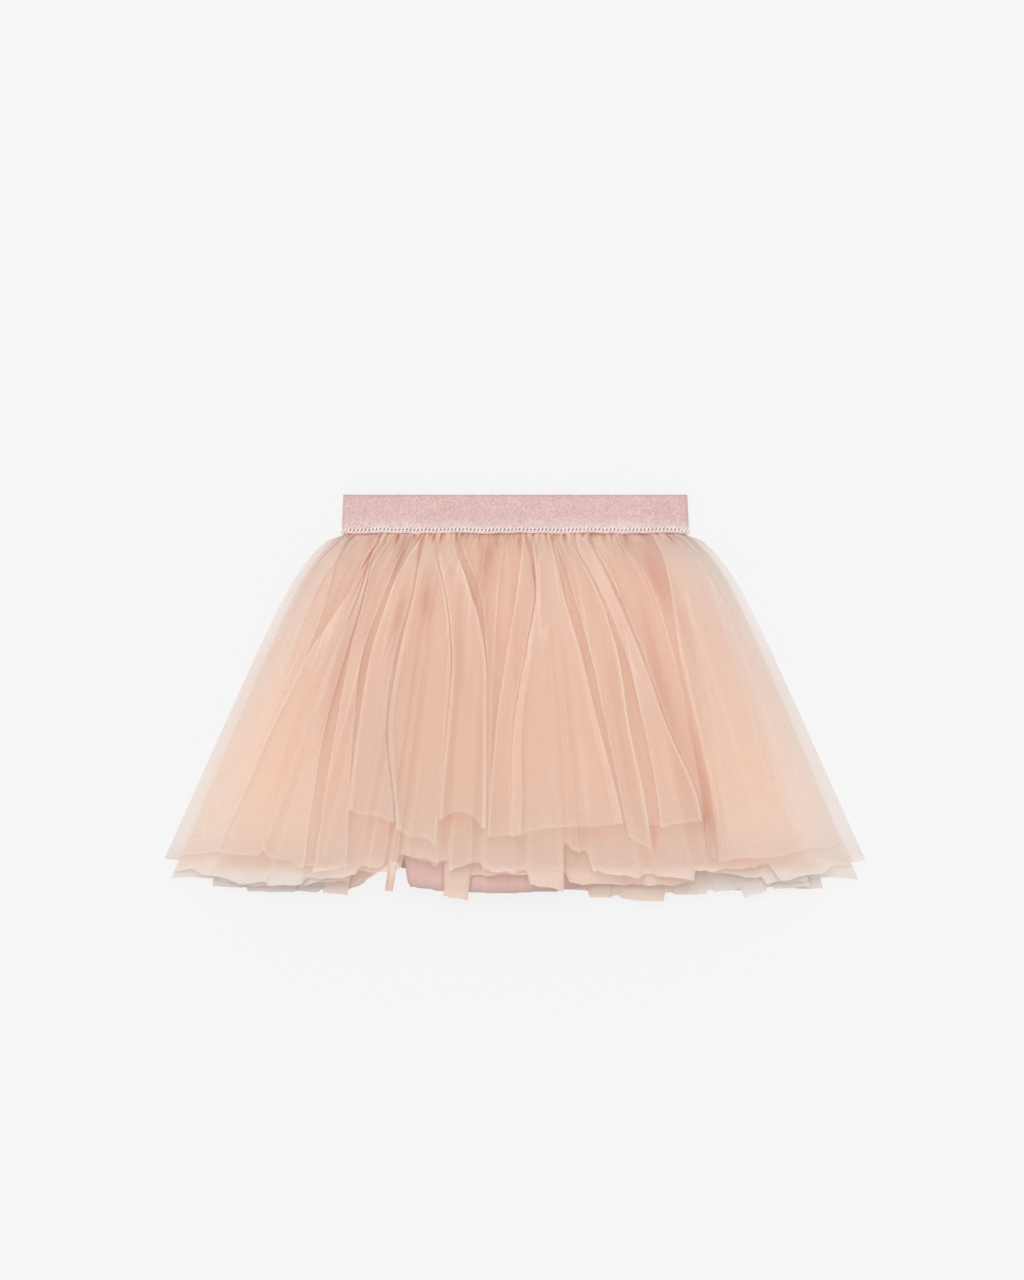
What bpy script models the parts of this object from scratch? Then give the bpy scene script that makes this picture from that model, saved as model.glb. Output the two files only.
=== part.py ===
"""A child's tulle skirt, laid flat.

A ring of wide elastic carries a slip lining and three gathered layers of tulle, each cut as a front
and a back panel. The skirt lies on z = 0 with its front up, its waist towards +Y and its hem
towards -Y. Sizes are in millimetres and become metres where the meshes are made.
"""
import math
import random
from collections import namedtuple

import bmesh
import bpy

MM = 0.001

# ---- Driving sizes -------------------------------------------------------------------------------
SKIRT_LENGTH = 267.3          # waistband's top edge to the lowest hem, along Y
BAND_HEIGHT = 25.4
BAND_TOP_HALF_WIDTH = 113.9
BAND_LOW_HALF_WIDTH = 115.2
BAND_THICKNESS = 5.8          # the flattened ring, outside to outside
BAND_WALL = 1.2
BAND_SEGMENTS = 72
BAND_ROUND_STEPS = 8          # of those segments, at each of the two folded ends

CLOTH_WALL = 1.0
SEAM_GAP = 0.3

# Outline of the spread cloth, by the distance below the seam ("drop")
SEAM_HALF_WIDTH = 117.2
FLARE_SLOPE = 0.449
SHOULDER_WIDTH = 17.5
SHOULDER_LENGTH = 17.2

# How the stack of cloth thickens below the seam
FRONT_RISE = 42.0             # of the outer front layer, at the middle of the skirt
FRONT_RISE_LENGTH = 34.0
FRONT_START = 5.0
SPREAD_LENGTH = 60.0
BACK_PITCH_AT_SEAM = 1.4      # from each back layer to the next
BACK_PITCH_GROWTH = 2.6
SIDE_LAP = CLOTH_WALL + SEAM_GAP

# Side-to-side crown of the front layers: nearly square at the seam, a lens further down
CROWN_POWER = 3.0
CROWN_POWER_AT_SEAM = 13.0
CROWN_LENGTH = 25.0
CROWN_ROUNDNESS = 1.0         # exponent far from the seam
CROWN_ROUNDNESS_AT_SEAM = 0.5

HEM_SAG_START = 140.0
HEM_SAG_LENGTH = 60.0
HEM_DIP = 1.5                 # how far the hem hangs lower in the valley between two folds
ROW_CROWDING = 1.6            # above 1, the rows of a panel lie closer together near the seam

# Fine gathers of the outer front, packed at the seam and gone a little way down
GATHER_HEIGHT = 0.45
GATHER_LENGTH = 22.0

# Where the back layers are caught up at the hem, left of the middle
TUCK_X = -87.0
TUCK_WIDTH = 17.0
TUCK_HEIGHT = 15.0

SEAM_Y = SKIRT_LENGTH / 2 - BAND_HEIGHT
FRONT_SETBACK = 0.75          # keeps the upper edge of a rising wall clear of the waistband

# How much the folds that have no row of their own vary
WIDTH_LESS = 0.35             # narrowest and widest, as shares of the mean width
WIDTH_MORE = 0.45
DRIFT = 0.25                  # sideways from seam to lower part, as a share of the mean width
LEAN_SPREAD = 0.2
LEAST_HEIGHT = 0.75           # as a share of the highest
HEM_SPREAD = 2.5

# One row for each fold, from the wearer's right side (-X) to the left side (+X). The first four
# columns place its left boundary, as a fraction of the half width, at the seam, at a drop of
# UPPER_DROP and LOWER_DROP, and at the hem. height is its rise in mm, lean how far its crest lies
# over (- left, + right) as a share of its width, and drop its hem's distance below the seam in mm.
Fold = namedtuple("Fold", "seam upper lower hem height lean drop")
UPPER_DROP = 70.0
LOWER_DROP = 123.0

OUTER_FRONT_FOLDS = (
    Fold(-1.000, -1.000, -1.000, -1.000, 5.0, 0.00, 213.0),
    Fold(-0.915, -0.910, -0.910, -0.920, 7.0, 0.00, 210.0),
    Fold(-0.820, -0.800, -0.827, -0.857, 11.0, -0.30, 208.0),
    Fold(-0.755, -0.705, -0.705, -0.715, 10.0, -0.20, 214.0),
    Fold(-0.695, -0.655, -0.645, -0.585, 9.0, 0.00, 216.0),
    Fold(-0.603, -0.567, -0.530, -0.499, 13.0, -0.20, 183.0),
    Fold(-0.481, -0.467, -0.416, -0.354, 10.0, 0.00, 200.0),
    Fold(-0.349, -0.242, -0.223, -0.229, 13.0, 0.10, 179.0),
    Fold(-0.186, -0.109, -0.078, -0.082, 8.0, 0.00, 197.0),
    Fold(0.030, 0.030, -0.005, -0.016, 11.0, -0.10, 195.0),
    Fold(0.094, 0.105, 0.143, 0.103, 10.0, 0.20, 192.0),
    Fold(0.215, 0.235, 0.205, 0.205, 13.0, 0.25, 186.0),
    Fold(0.293, 0.308, 0.309, 0.325, 9.0, 0.10, 200.0),
    Fold(0.372, 0.388, 0.420, 0.404, 14.0, 0.30, 188.0),
    Fold(0.445, 0.487, 0.530, 0.545, 7.0, 0.20, 206.0),
    Fold(0.660, 0.630, 0.610, 0.595, 9.0, -0.10, 210.0),
    Fold(0.830, 0.800, 0.780, 0.730, 6.0, 0.00, 204.0),
    Fold(0.930, 0.910, 0.900, 0.880, 4.0, 0.00, 213.0),
)

INNER_FRONT_FOLDS = (
    Fold(-1.00, -1.00, -1.00, -1.000, 3.0, 0.00, 227.0),
    Fold(-0.88, -0.86, -0.85, -0.850, 5.0, 0.10, 223.0),
    Fold(-0.74, -0.73, -0.72, -0.717, 5.5, 0.00, 227.0),
    Fold(-0.65, -0.64, -0.63, -0.620, 5.0, -0.10, 222.0),
    Fold(-0.54, -0.53, -0.53, -0.521, 5.5, 0.00, 224.0),
    Fold(-0.45, -0.45, -0.44, -0.437, 6.0, 0.10, 232.0),
    Fold(-0.34, -0.35, -0.36, -0.369, 5.0, 0.00, 218.0),
    Fold(-0.22, -0.23, -0.24, -0.251, 6.0, 0.05, 239.0),
    Fold(-0.10, -0.12, -0.13, -0.140, 5.0, 0.00, 220.0),
    Fold(0.04, 0.03, 0.02, 0.018, 5.5, 0.00, 232.0),
    Fold(0.16, 0.18, 0.19, 0.197, 5.0, 0.00, 216.0),
    Fold(0.27, 0.26, 0.26, 0.270, 6.0, -0.10, 231.0),
    Fold(0.42, 0.42, 0.42, 0.423, 5.5, 0.00, 228.0),
    Fold(0.62, 0.63, 0.64, 0.639, 5.0, 0.10, 223.0),
    Fold(0.80, 0.81, 0.82, 0.828, 3.5, 0.00, 228.0),
)

INNER_BACK_FOLDS = (
    Fold(-1.00, -1.00, -1.00, -1.000, 1.8, 0.00, 232.0),
    Fold(-0.90, -0.90, -0.90, -0.909, 2.2, 0.00, 235.6),
    Fold(-0.74, -0.73, -0.72, -0.717, 2.3, 0.00, 231.0),
    Fold(-0.65, -0.65, -0.65, -0.655, 2.3, 0.10, 237.0),
    Fold(-0.53, -0.53, -0.54, -0.548, 2.3, 0.00, 216.5),
    Fold(-0.37, -0.37, -0.37, -0.373, 2.2, 0.00, 228.0),
    Fold(-0.14, -0.14, -0.15, -0.150, 2.3, -0.10, 231.0),
    Fold(0.09, 0.09, 0.09, 0.086, 2.3, 0.00, 231.0),
    Fold(0.23, 0.23, 0.24, 0.238, 2.2, 0.10, 239.3),
    Fold(0.34, 0.34, 0.34, 0.335, 2.3, 0.00, 241.6),
    Fold(0.51, 0.51, 0.52, 0.518, 2.3, 0.00, 237.6),
    Fold(0.65, 0.66, 0.66, 0.660, 2.2, 0.00, 235.0),
    Fold(0.74, 0.75, 0.75, 0.754, 2.2, 0.00, 237.6),
    Fold(0.85, 0.85, 0.86, 0.860, 1.8, 0.00, 233.6),
)

LINING_FRONT_FOLDS = (
    Fold(-1.00, -1.00, -1.00, -1.00, 0.7, 0.0, 212.0),
    Fold(-0.78, -0.77, -0.77, -0.77, 1.0, 0.0, 212.0),
    Fold(-0.55, -0.54, -0.54, -0.54, 1.1, 0.0, 233.0),
    Fold(-0.30, -0.30, -0.30, -0.30, 1.1, 0.0, 236.0),
    Fold(-0.05, -0.05, -0.05, -0.05, 1.1, 0.0, 235.0),
    Fold(0.14, 0.15, 0.15, 0.15, 1.1, 0.0, 234.0),
    Fold(0.36, 0.35, 0.35, 0.34, 1.1, 0.0, 224.0),
    Fold(0.58, 0.59, 0.60, 0.60, 1.0, 0.0, 222.0),
    Fold(0.78, 0.79, 0.80, 0.80, 0.7, 0.0, 218.0),
)

LINING_BACK_FOLDS = (
    Fold(-1.00, -1.00, -1.00, -1.00, 0.6, 0.0, 212.0),
    Fold(-0.72, -0.71, -0.70, -0.70, 0.8, 0.0, 210.0),
    Fold(-0.50, -0.50, -0.50, -0.50, 0.8, 0.0, 230.0),
    Fold(-0.22, -0.21, -0.20, -0.20, 0.8, 0.0, 232.0),
    Fold(0.10, 0.10, 0.10, 0.10, 0.8, 0.0, 231.0),
    Fold(0.38, 0.39, 0.40, 0.40, 0.8, 0.0, 222.0),
    Fold(0.70, 0.70, 0.70, 0.70, 0.6, 0.0, 218.0),
)

# One row for each layer. slot counts inwards from the outer layer. flare is the share of the
# outline's widening that the layer follows, start its upper edge's distance below the seam, and
# front_step and step_growth how far its front panel lies under the next layer out, in mm. sag is
# how far the front panel sinks near its hem, and bulge how far the flanks of its folds lean over
# their necks, as a share of a fold's width. Back panels are pressed flat and have no such bulge.
Layer = namedtuple("Layer",
                   "name slot seam_half_width flare start front_step step_growth sag bulge")
OUTER = Layer("tulle_outer", 0, SEAM_HALF_WIDTH, 1.00, SEAM_GAP, 0.0, 0.0, 6.0, 0.15)
MIDDLE = Layer("tulle_middle", 1, 112.8, 0.948, 3.0, 2.1, 12.0, 3.0, 0.12)
INNER = Layer("tulle_inner", 2, 107.2, 0.718, 8.5, 2.0, 8.5, 0.0, 0.10)
LINING = Layer("lining", 3, 104.0, 0.26, 20.0, 1.8, 2.2, 0.0, 0.0)
LAYERS = (OUTER, MIDDLE, INNER, LINING)


# ---- Rules of the cloth --------------------------------------------------------------------------
def settle(drop, length):
    """0 at the seam, growing towards 1 over a few lengths."""
    return 1.0 - math.exp(-drop / length)


def outline_half_width(drop):
    return SEAM_HALF_WIDTH + FLARE_SLOPE * drop + SHOULDER_WIDTH * settle(drop, SHOULDER_LENGTH)


def half_width(layer, drop):
    widening = outline_half_width(drop) - SEAM_HALF_WIDTH
    return layer.seam_half_width + layer.flare * widening


def back_height(layer, drop):
    pitch = BACK_PITCH_AT_SEAM + BACK_PITCH_GROWTH * settle(drop, SPREAD_LENGTH)
    return layer.slot * pitch


def front_middle_height(layer, drop):
    """Height of a front panel above the floor, along the middle of the skirt."""
    height = FRONT_START + FRONT_RISE * settle(drop, FRONT_RISE_LENGTH)
    for above in LAYERS[1:layer.slot + 1]:
        height -= above.front_step + above.step_growth * settle(drop, SPREAD_LENGTH)
    past = max(0.0, drop - HEM_SAG_START) / HEM_SAG_LENGTH
    return height - layer.sag * past ** 2 / (1.0 + past ** 2)


def crown(across, drop):
    """1 along the middle, 0 at the side edges."""
    near_seam = math.exp(-drop / CROWN_LENGTH)
    power = CROWN_POWER + CROWN_POWER_AT_SEAM * near_seam
    roundness = CROWN_ROUNDNESS + (CROWN_ROUNDNESS_AT_SEAM - CROWN_ROUNDNESS) * near_seam
    return max(0.0, 1.0 - abs(across) ** power) ** roundness


def front_height(layer, across, drop):
    side = back_height(layer, drop) + SIDE_LAP
    middle = front_middle_height(layer, drop)
    return side + (middle - side) * crown(across, drop)


def hem_tuck(x):
    return TUCK_HEIGHT * math.exp(-((x - TUCK_X) / TUCK_WIDTH) ** 2)


def irregular_folds(layer, count, height, middle_drop, side_drop, tucked, seed):
    """Folds of uneven width that drift a little from seam to hem."""
    dice = random.Random(seed)
    widths = [1.0 + dice.uniform(-WIDTH_LESS, WIDTH_MORE) for _ in range(count)]
    total = sum(widths)
    rows = []
    reached = 0.0
    for index, width in enumerate(widths):
        seam = 2.0 * reached / total - 1.0
        drift = dice.uniform(-DRIFT, DRIFT) / count if index else 0.0
        centre = seam + width / total
        drop = middle_drop + (side_drop - middle_drop) * centre ** 2
        drop += dice.uniform(-HEM_SPREAD, HEM_SPREAD)
        if tucked:
            drop -= hem_tuck(centre * half_width(layer, drop))
        if index in (0, count - 1):
            drop = side_drop
        rise = height * dice.uniform(LEAST_HEIGHT, 1.0)
        lean = dice.uniform(-LEAN_SPREAD, LEAN_SPREAD)
        rows.append(Fold(seam, seam + drift / 2, seam + drift, seam + drift * 1.5,
                         rise, lean, drop))
        reached += width
    return tuple(rows)


def boundary(fold, drop):
    """Where a fold's left boundary lies, as a fraction of the half width, at a drop."""
    stops = ((0.0, fold.seam), (UPPER_DROP, fold.upper), (LOWER_DROP, fold.lower),
             (fold.drop, fold.hem))
    for (from_drop, start), (to_drop, end) in zip(stops, stops[1:]):
        if drop <= to_drop:
            share = (drop - from_drop) / (to_drop - from_drop)
            return start + (end - start) * share
    return fold.hem


def hem_at_boundary(folds, index):
    if index == 0:
        return folds[0].drop
    if index == len(folds):
        return folds[-1].drop
    return (folds[index - 1].drop + folds[index].drop) / 2 + HEM_DIP


def fold_point(layer, folds, index, phase, share, is_front):
    """A point of a panel, in mm: phase runs across one fold, share from its upper edge to its hem."""
    fold = folds[index]
    crest = (1.0 - math.cos(2 * math.pi * phase)) / 2
    beside = hem_at_boundary(folds, index) * (1 - phase) + hem_at_boundary(folds, index + 1) * phase
    lowest = fold.drop * crest + beside * (1.0 - crest)
    start = layer.start + (FRONT_SETBACK if is_front else 0.0)
    drop = start + share * (lowest - start)

    left = boundary(fold, drop)
    right = boundary(folds[index + 1], drop) if index + 1 < len(folds) else 1.0
    grown = settle(drop, SPREAD_LENGTH)
    side_fade = 1.0 - ((left + right) / 2) ** 4
    bulge = layer.bulge * math.sin(4 * math.pi * phase) if is_front else 0.0
    overhang = (bulge + fold.lean * crest) * grown * side_fade
    across = left + (right - left) * (phase + overhang)

    base = front_height(layer, across, drop) if is_front else back_height(layer, drop)
    height = base + fold.height * grown * crest * (1.0 - across ** 4)
    return across * half_width(layer, drop), SEAM_Y - drop, height


# ---- Blender objects -----------------------------------------------------------------------------
def clear_scene():
    for thing in list(bpy.data.objects):
        bpy.data.objects.remove(thing, do_unlink=True)


def make_material(name, colour, roughness, metallic=0.0):
    material = bpy.data.materials.new(name)
    material.use_nodes = True
    shader = material.node_tree.nodes["Principled BSDF"]
    shader.inputs["Base Color"].default_value = (*colour, 1.0)
    shader.inputs["Roughness"].default_value = roughness
    shader.inputs["Metallic"].default_value = metallic
    return material


def add_object(name, mesh, material, collection, wall, outward):
    thing = bpy.data.objects.new(name, mesh)
    collection.objects.link(thing)
    mesh.materials.append(material)
    thickness = thing.modifiers.new("wall", "SOLIDIFY")
    thickness.thickness = wall * MM
    thickness.offset = outward
    return thing


def make_panel(layer, side, folds, phases, rows, material, collection, gathered=False):
    """A gathered panel: a flat grid whose columns follow the folds and whose rows run to the hem."""
    stations = [(index, phase) for index in range(len(folds)) for phase in phases]
    stations.append((len(folds) - 1, 1.0))
    if phases[0] > 0.0:
        stations.insert(0, (0, 0.0))
    mesh = bpy.data.meshes.new(layer.name + side)
    form = bmesh.new()
    bmesh.ops.create_grid(form, x_segments=len(stations) - 1, y_segments=rows, size=1.0)
    for point in form.verts:
        column = round((point.co.x + 1.0) / 2.0 * (len(stations) - 1))
        share = ((1.0 - point.co.y) / 2.0) ** ROW_CROWDING
        index, phase = stations[column]
        x, y, z = fold_point(layer, folds, index, phase, share, side == "_front")
        if gathered and column % 2:
            z += GATHER_HEIGHT * math.exp((y - SEAM_Y) / GATHER_LENGTH)
        point.co = (x * MM, y * MM, z * MM)
    form.to_mesh(mesh)
    form.free()
    mesh.shade_smooth()
    return add_object(layer.name + side, mesh, material, collection, CLOTH_WALL, 1.0)


def band_section(turn, half):
    """A flattened ring's outline: two straight runs joined by half rounds, turn from 0 to 1."""
    radius = BAND_THICKNESS / 2
    straight = 2 * (half - radius)
    around = math.pi * radius
    reach = turn * 2 * (straight + around)
    if reach < straight:
        return straight / 2 - reach, 0.0
    reach -= straight
    if reach < around:
        angle = reach / radius
        return -straight / 2 - radius * math.sin(angle), radius - radius * math.cos(angle)
    reach -= around
    if reach < straight:
        return reach - straight / 2, BAND_THICKNESS
    angle = (reach - straight) / radius
    return straight / 2 + radius * math.sin(angle), radius + radius * math.cos(angle)


def band_turns():
    """Turns of the band's points: each straight run and each half round has its own share."""
    mean_half = (BAND_TOP_HALF_WIDTH + BAND_LOW_HALF_WIDTH) / 2
    radius = BAND_THICKNESS / 2
    straight = 2 * (mean_half - radius)
    around = math.pi * radius
    whole = 2 * (straight + around)
    straight_steps = BAND_SEGMENTS // 2 - BAND_ROUND_STEPS
    turns = []
    start = 0.0
    for length, steps in ((straight, straight_steps), (around, BAND_ROUND_STEPS)) * 2:
        turns += [(start + length * step / steps) / whole for step in range(steps)]
        start += length
    return turns


def make_waistband(material, collection):
    """The elastic: an open tube bent to the flattened ring, with its wall set inwards."""
    mesh = bpy.data.meshes.new("waistband")
    form = bmesh.new()
    bmesh.ops.create_cone(form, cap_ends=False, segments=BAND_SEGMENTS,
                          radius1=1.0, radius2=1.0, depth=1.0)
    turns = band_turns()
    for point in form.verts:
        angle = math.atan2(point.co.x, point.co.y) % (2 * math.pi)
        turn = turns[round(angle / (2 * math.pi) * BAND_SEGMENTS) % BAND_SEGMENTS]
        upper = point.co.z > 0.0
        x, z = band_section(turn, BAND_TOP_HALF_WIDTH if upper else BAND_LOW_HALF_WIDTH)
        y = SEAM_Y + BAND_HEIGHT if upper else SEAM_Y
        point.co = (x * MM, y * MM, z * MM)
    bmesh.ops.recalc_face_normals(form, faces=form.faces)
    form.to_mesh(mesh)
    form.free()
    mesh.shade_smooth()
    return add_object("waistband", mesh, material, collection, BAND_WALL, -1.0)


def build_skirt():
    clear_scene()
    collection = bpy.data.collections.new("tulle_skirt")
    bpy.context.scene.collection.children.link(collection)
    elastic = make_material("shimmer elastic", (0.76, 0.56, 0.54), 0.45)
    tulle = make_material("peach tulle", (0.83, 0.55, 0.42), 0.85)
    slip = make_material("mauve slip cloth", (0.60, 0.40, 0.37), 0.7)

    make_waistband(elastic, collection)

    full_phases = (0.0, 0.1, 0.22, 0.36, 0.5, 0.64, 0.78, 0.9)
    box_phases = (0.1, 0.34, 0.66, 0.9)
    soft_phases = (0.0, 0.25, 0.5, 0.75)
    make_panel(OUTER, "_front", OUTER_FRONT_FOLDS, full_phases, 6, tulle, collection, gathered=True)
    make_panel(INNER, "_front", INNER_FRONT_FOLDS, box_phases, 5, tulle, collection)
    make_panel(INNER, "_back", INNER_BACK_FOLDS, box_phases, 5, tulle, collection)
    make_panel(LINING, "_front", LINING_FRONT_FOLDS, soft_phases, 4, slip, collection)
    make_panel(LINING, "_back", LINING_BACK_FOLDS, soft_phases, 4, slip, collection)

    middle_front = irregular_folds(MIDDLE, 16, 9.0, 217.0, 221.0, False, 11)
    middle_back = irregular_folds(MIDDLE, 16, 2.3, 230.0, 221.0, True, 12)
    outer_back = irregular_folds(OUTER, 17, 2.3, 229.0, 213.6, True, 13)
    make_panel(MIDDLE, "_front", middle_front, box_phases, 5, tulle, collection)
    make_panel(MIDDLE, "_back", middle_back, box_phases, 5, tulle, collection)
    make_panel(OUTER, "_back", outer_back, box_phases, 5, tulle, collection)


build_skirt()
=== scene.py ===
"""Looks for a child's tulle skirt, laid flat: shimmer elastic, a slip lining and three gathered
layers of net.

The skirt lies on z = 0 with its front up, its waist towards +Y and its hem towards -Y. Sizes are
in millimetres and become metres where the meshes are made. A "drop" is the distance below the
waist seam, and "across" runs from -1 to 1 between a layer's two side edges. "deep" says how far
the net's colour goes towards its deepest: painted shade in folds, slits, crevices and under the
elastic. "pale" says how far it goes towards its palest, greyer colour: painted highlight and haze
on turned edges, ridges, near the sides and towards the hem, and painted shade on the lowest hems.
"""
import math
import random
from collections import namedtuple

import bpy
import numpy as np
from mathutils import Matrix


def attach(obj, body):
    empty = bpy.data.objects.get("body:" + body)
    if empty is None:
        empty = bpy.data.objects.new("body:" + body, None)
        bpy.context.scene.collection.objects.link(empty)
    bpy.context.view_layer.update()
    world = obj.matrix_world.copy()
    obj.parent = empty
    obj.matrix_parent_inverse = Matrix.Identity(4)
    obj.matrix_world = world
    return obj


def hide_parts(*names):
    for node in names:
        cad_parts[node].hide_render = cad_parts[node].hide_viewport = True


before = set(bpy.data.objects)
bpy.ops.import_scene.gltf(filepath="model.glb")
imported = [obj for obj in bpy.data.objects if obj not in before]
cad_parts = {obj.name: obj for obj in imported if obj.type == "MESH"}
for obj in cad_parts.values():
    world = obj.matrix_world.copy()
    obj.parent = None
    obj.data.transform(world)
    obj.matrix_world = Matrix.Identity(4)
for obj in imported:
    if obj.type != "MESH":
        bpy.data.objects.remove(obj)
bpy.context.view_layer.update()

MM = 0.001

# ---- The skirt's form, as its solids have it ----
SKIRT_LENGTH = 267.3
BAND_HEIGHT = 25.4
BAND_TOP_HALF_WIDTH = 113.9
BAND_LOW_HALF_WIDTH = 115.2
BAND_THICKNESS = 5.8
BAND_WALL = 1.2
SEAM_Y = SKIRT_LENGTH / 2 - BAND_HEIGHT

SEAM_HALF_WIDTH = 117.2
FLARE_SLOPE = 0.449
SHOULDER_WIDTH = 17.5
SHOULDER_LENGTH = 17.2

FRONT_RISE = 42
FRONT_RISE_LENGTH = 34
FRONT_START = 5
SPREAD_LENGTH = 60
BACK_PITCH_AT_SEAM = 1.4
BACK_PITCH_GROWTH = 2.6
SIDE_LAP = 1.3
CROWN_POWER = 3
CROWN_POWER_AT_SEAM = 13
CROWN_LENGTH = 25
CROWN_ROUNDNESS = 1
CROWN_ROUNDNESS_AT_SEAM = 0.5
HEM_SAG_START = 140
HEM_SAG_LENGTH = 60

# piece and node begin the names of its two panels here and among the solids
Layer = namedtuple("Layer", "slot piece node seam_half_width flare front_step step_growth sag")
OUTER = Layer(0, "net_outer_", "tulle_outer_", SEAM_HALF_WIDTH, 1, 0, 0, 6)
MIDDLE = Layer(1, "net_middle_", "tulle_middle_", 112.8, 0.948, 2.1, 12, 3)
INNER = Layer(2, "net_inner_", "tulle_inner_", 107.2, 0.718, 2, 8.5, 0)
LINING = Layer(3, "slip_", "lining_", 104, 0.26, 1.8, 2.2, 0)
LAYERS = (OUTER, MIDDLE, INNER, LINING)

# ---- Tables of the folds ----
# A lobe is one rounded fold: its left and right edges as seen from above, as shares of the half width
# at each of LOBE_DROPS, its height, how far the cloth runs back under each edge as a share of its
# width, its hem's drop at each edge and how far the hem lifts between them.
LOBE_DROPS = (7, 37, 77, 123, 176, 215)
Lobe = namedtuple("Lobe", "left right rise tuck hem arch", defaults=(0,))

OUTER_FRONT_LOBES = [Lobe(*row) for row in (
    ((-1, -1, -1, -1, -1, -1), (-0.93, -0.93, -0.945, -0.955, -0.96, -0.96), 4, (0, 0), (213, 213)),
    ((-0.93, -0.93, -0.945, -0.955, -0.96, -0.96), (-0.879, -0.811, -0.795, -0.819, -0.836, -0.852),
         4, (0, 0.06), (213, 210)),
    ((-0.733, -0.719, -0.788, -0.829, -0.848, -0.86), (-0.717, -0.67, -0.694, -0.708, -0.719, -0.726),
         10.5, (0.1, 0.05), (209, 211)),
    ((-0.717, -0.67, -0.698, -0.711, -0.719, -0.729), (-0.697, -0.652, -0.643, -0.642, -0.614, -0.589),
         7, (0.08, 0.06), (208, 218)),
    ((-0.697, -0.648, -0.631, -0.607, -0.58, -0.561), (-0.556, -0.559, -0.58, -0.548, -0.502, -0.469),
         7, (0.06, 0.07), (220, 217)),
    ((-0.545, -0.537, -0.549, -0.53, -0.502, -0.472), (-0.472, -0.444, -0.455, -0.44, -0.369, -0.332),
         9.5, (0.1, 0.05), (181, 188), 1),
    ((-0.462, -0.436, -0.44, -0.429, -0.363, -0.321), (-0.41, -0.307, -0.244, -0.231, -0.227, -0.224),
         7.5, (0.08, 0.07), (193, 203)),
    ((-0.404, -0.303, -0.24, -0.228, -0.227, -0.215), (-0.31, -0.192, -0.115, -0.096, -0.085, -0.081),
         9.5, (0.08, 0.09), (186, 191), 8),
    ((-0.274, -0.157, -0.107, -0.089, -0.079, -0.076), (-0.05, -0.069, -0.076, -0.075, -0.073, -0.073),
         5, (0.1, 0.1), (198, 198)),
    ((0.039, 0.011, -0.029, -0.061, -0.076, -0.084), (0.086, 0.086, 0.041, -0.005, -0.011, -0.016),
         8, (0.12, 0.08), (197, 197)),
    ((0.097, 0.095, 0.045, -0.002, -0.011, -0.019), (0.201, 0.21, 0.252, 0.283, 0.317, 0.324),
         10.5, (0.1, 0.08), (197, 190), 3),
    ((0.217, 0.25, 0.287, 0.308, 0.326, 0.335), (0.295, 0.356, 0.393, 0.388, 0.397, 0.389),
         7, (0.06, 0.08), (198, 206)),
    ((0.305, 0.369, 0.42, 0.436, 0.434, 0.415), (0.389, 0.427, 0.479, 0.513, 0.561, 0.538),
         10, (0.07, 0.09), (190.7, 188), 1),
    ((0.399, 0.444, 0.49, 0.523, 0.564, 0.544), (0.582, 0.604, 0.608, 0.596, 0.57, 0.538),
         6, (0.05, 0.08), (204, 213)),
    ((0.733, 0.679, 0.631, 0.617, 0.601, 0.572), (0.837, 0.82, 0.831, 0.826, 0.827, 0.815),
         6, (0.08, 0), (214, 209)),
    ((0.837, 0.82, 0.831, 0.826, 0.827, 0.815), (0.89, 0.891, 0.928, 0.948, 0.95, 0.946),
         3, (0, 0), (209, 205)),
    ((0.89, 0.891, 0.928, 0.948, 0.95, 0.946), (1, 1, 1, 1, 1, 1), 2, (0, 0), (205, 213)),
)]

# A simpler fold: its left boundary at the seam, at two drops and at the foot, its height, its hem's
# drops at its edges, its tuck, and the open share between an edge and its boundary.
Fold = namedtuple("Fold", "seam upper lower foot rise hem_left hem_right tuck gap", defaults=(0, 0.1))
UPPER_DROP = 70
LOWER_DROP = 123
FOOT_DROP = 215

MIDDLE_FRONT_FOLDS = [Fold(*row) for row in (
    (-1, -1, -1, -1, 5, 222, 230, 0.03, 0.01), (-0.78, -0.76, -0.74, -0.73, 8, 230, 229, 0.04, 0.01),
    (-0.64, -0.62, -0.6, -0.59, 8, 227, 223, 0.04, 0.01),
    (-0.48, -0.46, -0.445, -0.44, 7, 219, 217, 0.04, 0.01),
    (-0.395, -0.386, -0.378, -0.373, 6, 232, 232.5, 0.04, 0.02),
    (-0.362, -0.352, -0.347, -0.343, 8, 211, 215, 0.05, 0.02),
    (-0.23, -0.22, -0.212, -0.205, 9, 220, 216, 0.05, 0.01),
    (-0.13, -0.122, -0.118, -0.113, 8, 218, 222, 0.05, 0.01),
    (0.01, 0.016, 0.02, 0.023, 8, 229, 233, 0.05, 0.01), (0.14, 0.15, 0.155, 0.16, 5, 206, 209, 0.03, 0.04),
    (0.19, 0.194, 0.197, 0.2, 9, 219, 226, 0.05, 0.01), (0.37, 0.38, 0.386, 0.39, 9, 224, 227, 0.05, 0.01),
    (0.54, 0.54, 0.54, 0.54, 6, 221, 219, 0.04, 0.01), (0.74, 0.735, 0.732, 0.73, 4, 228, 219, 0.03, 0.01),
)]

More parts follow.
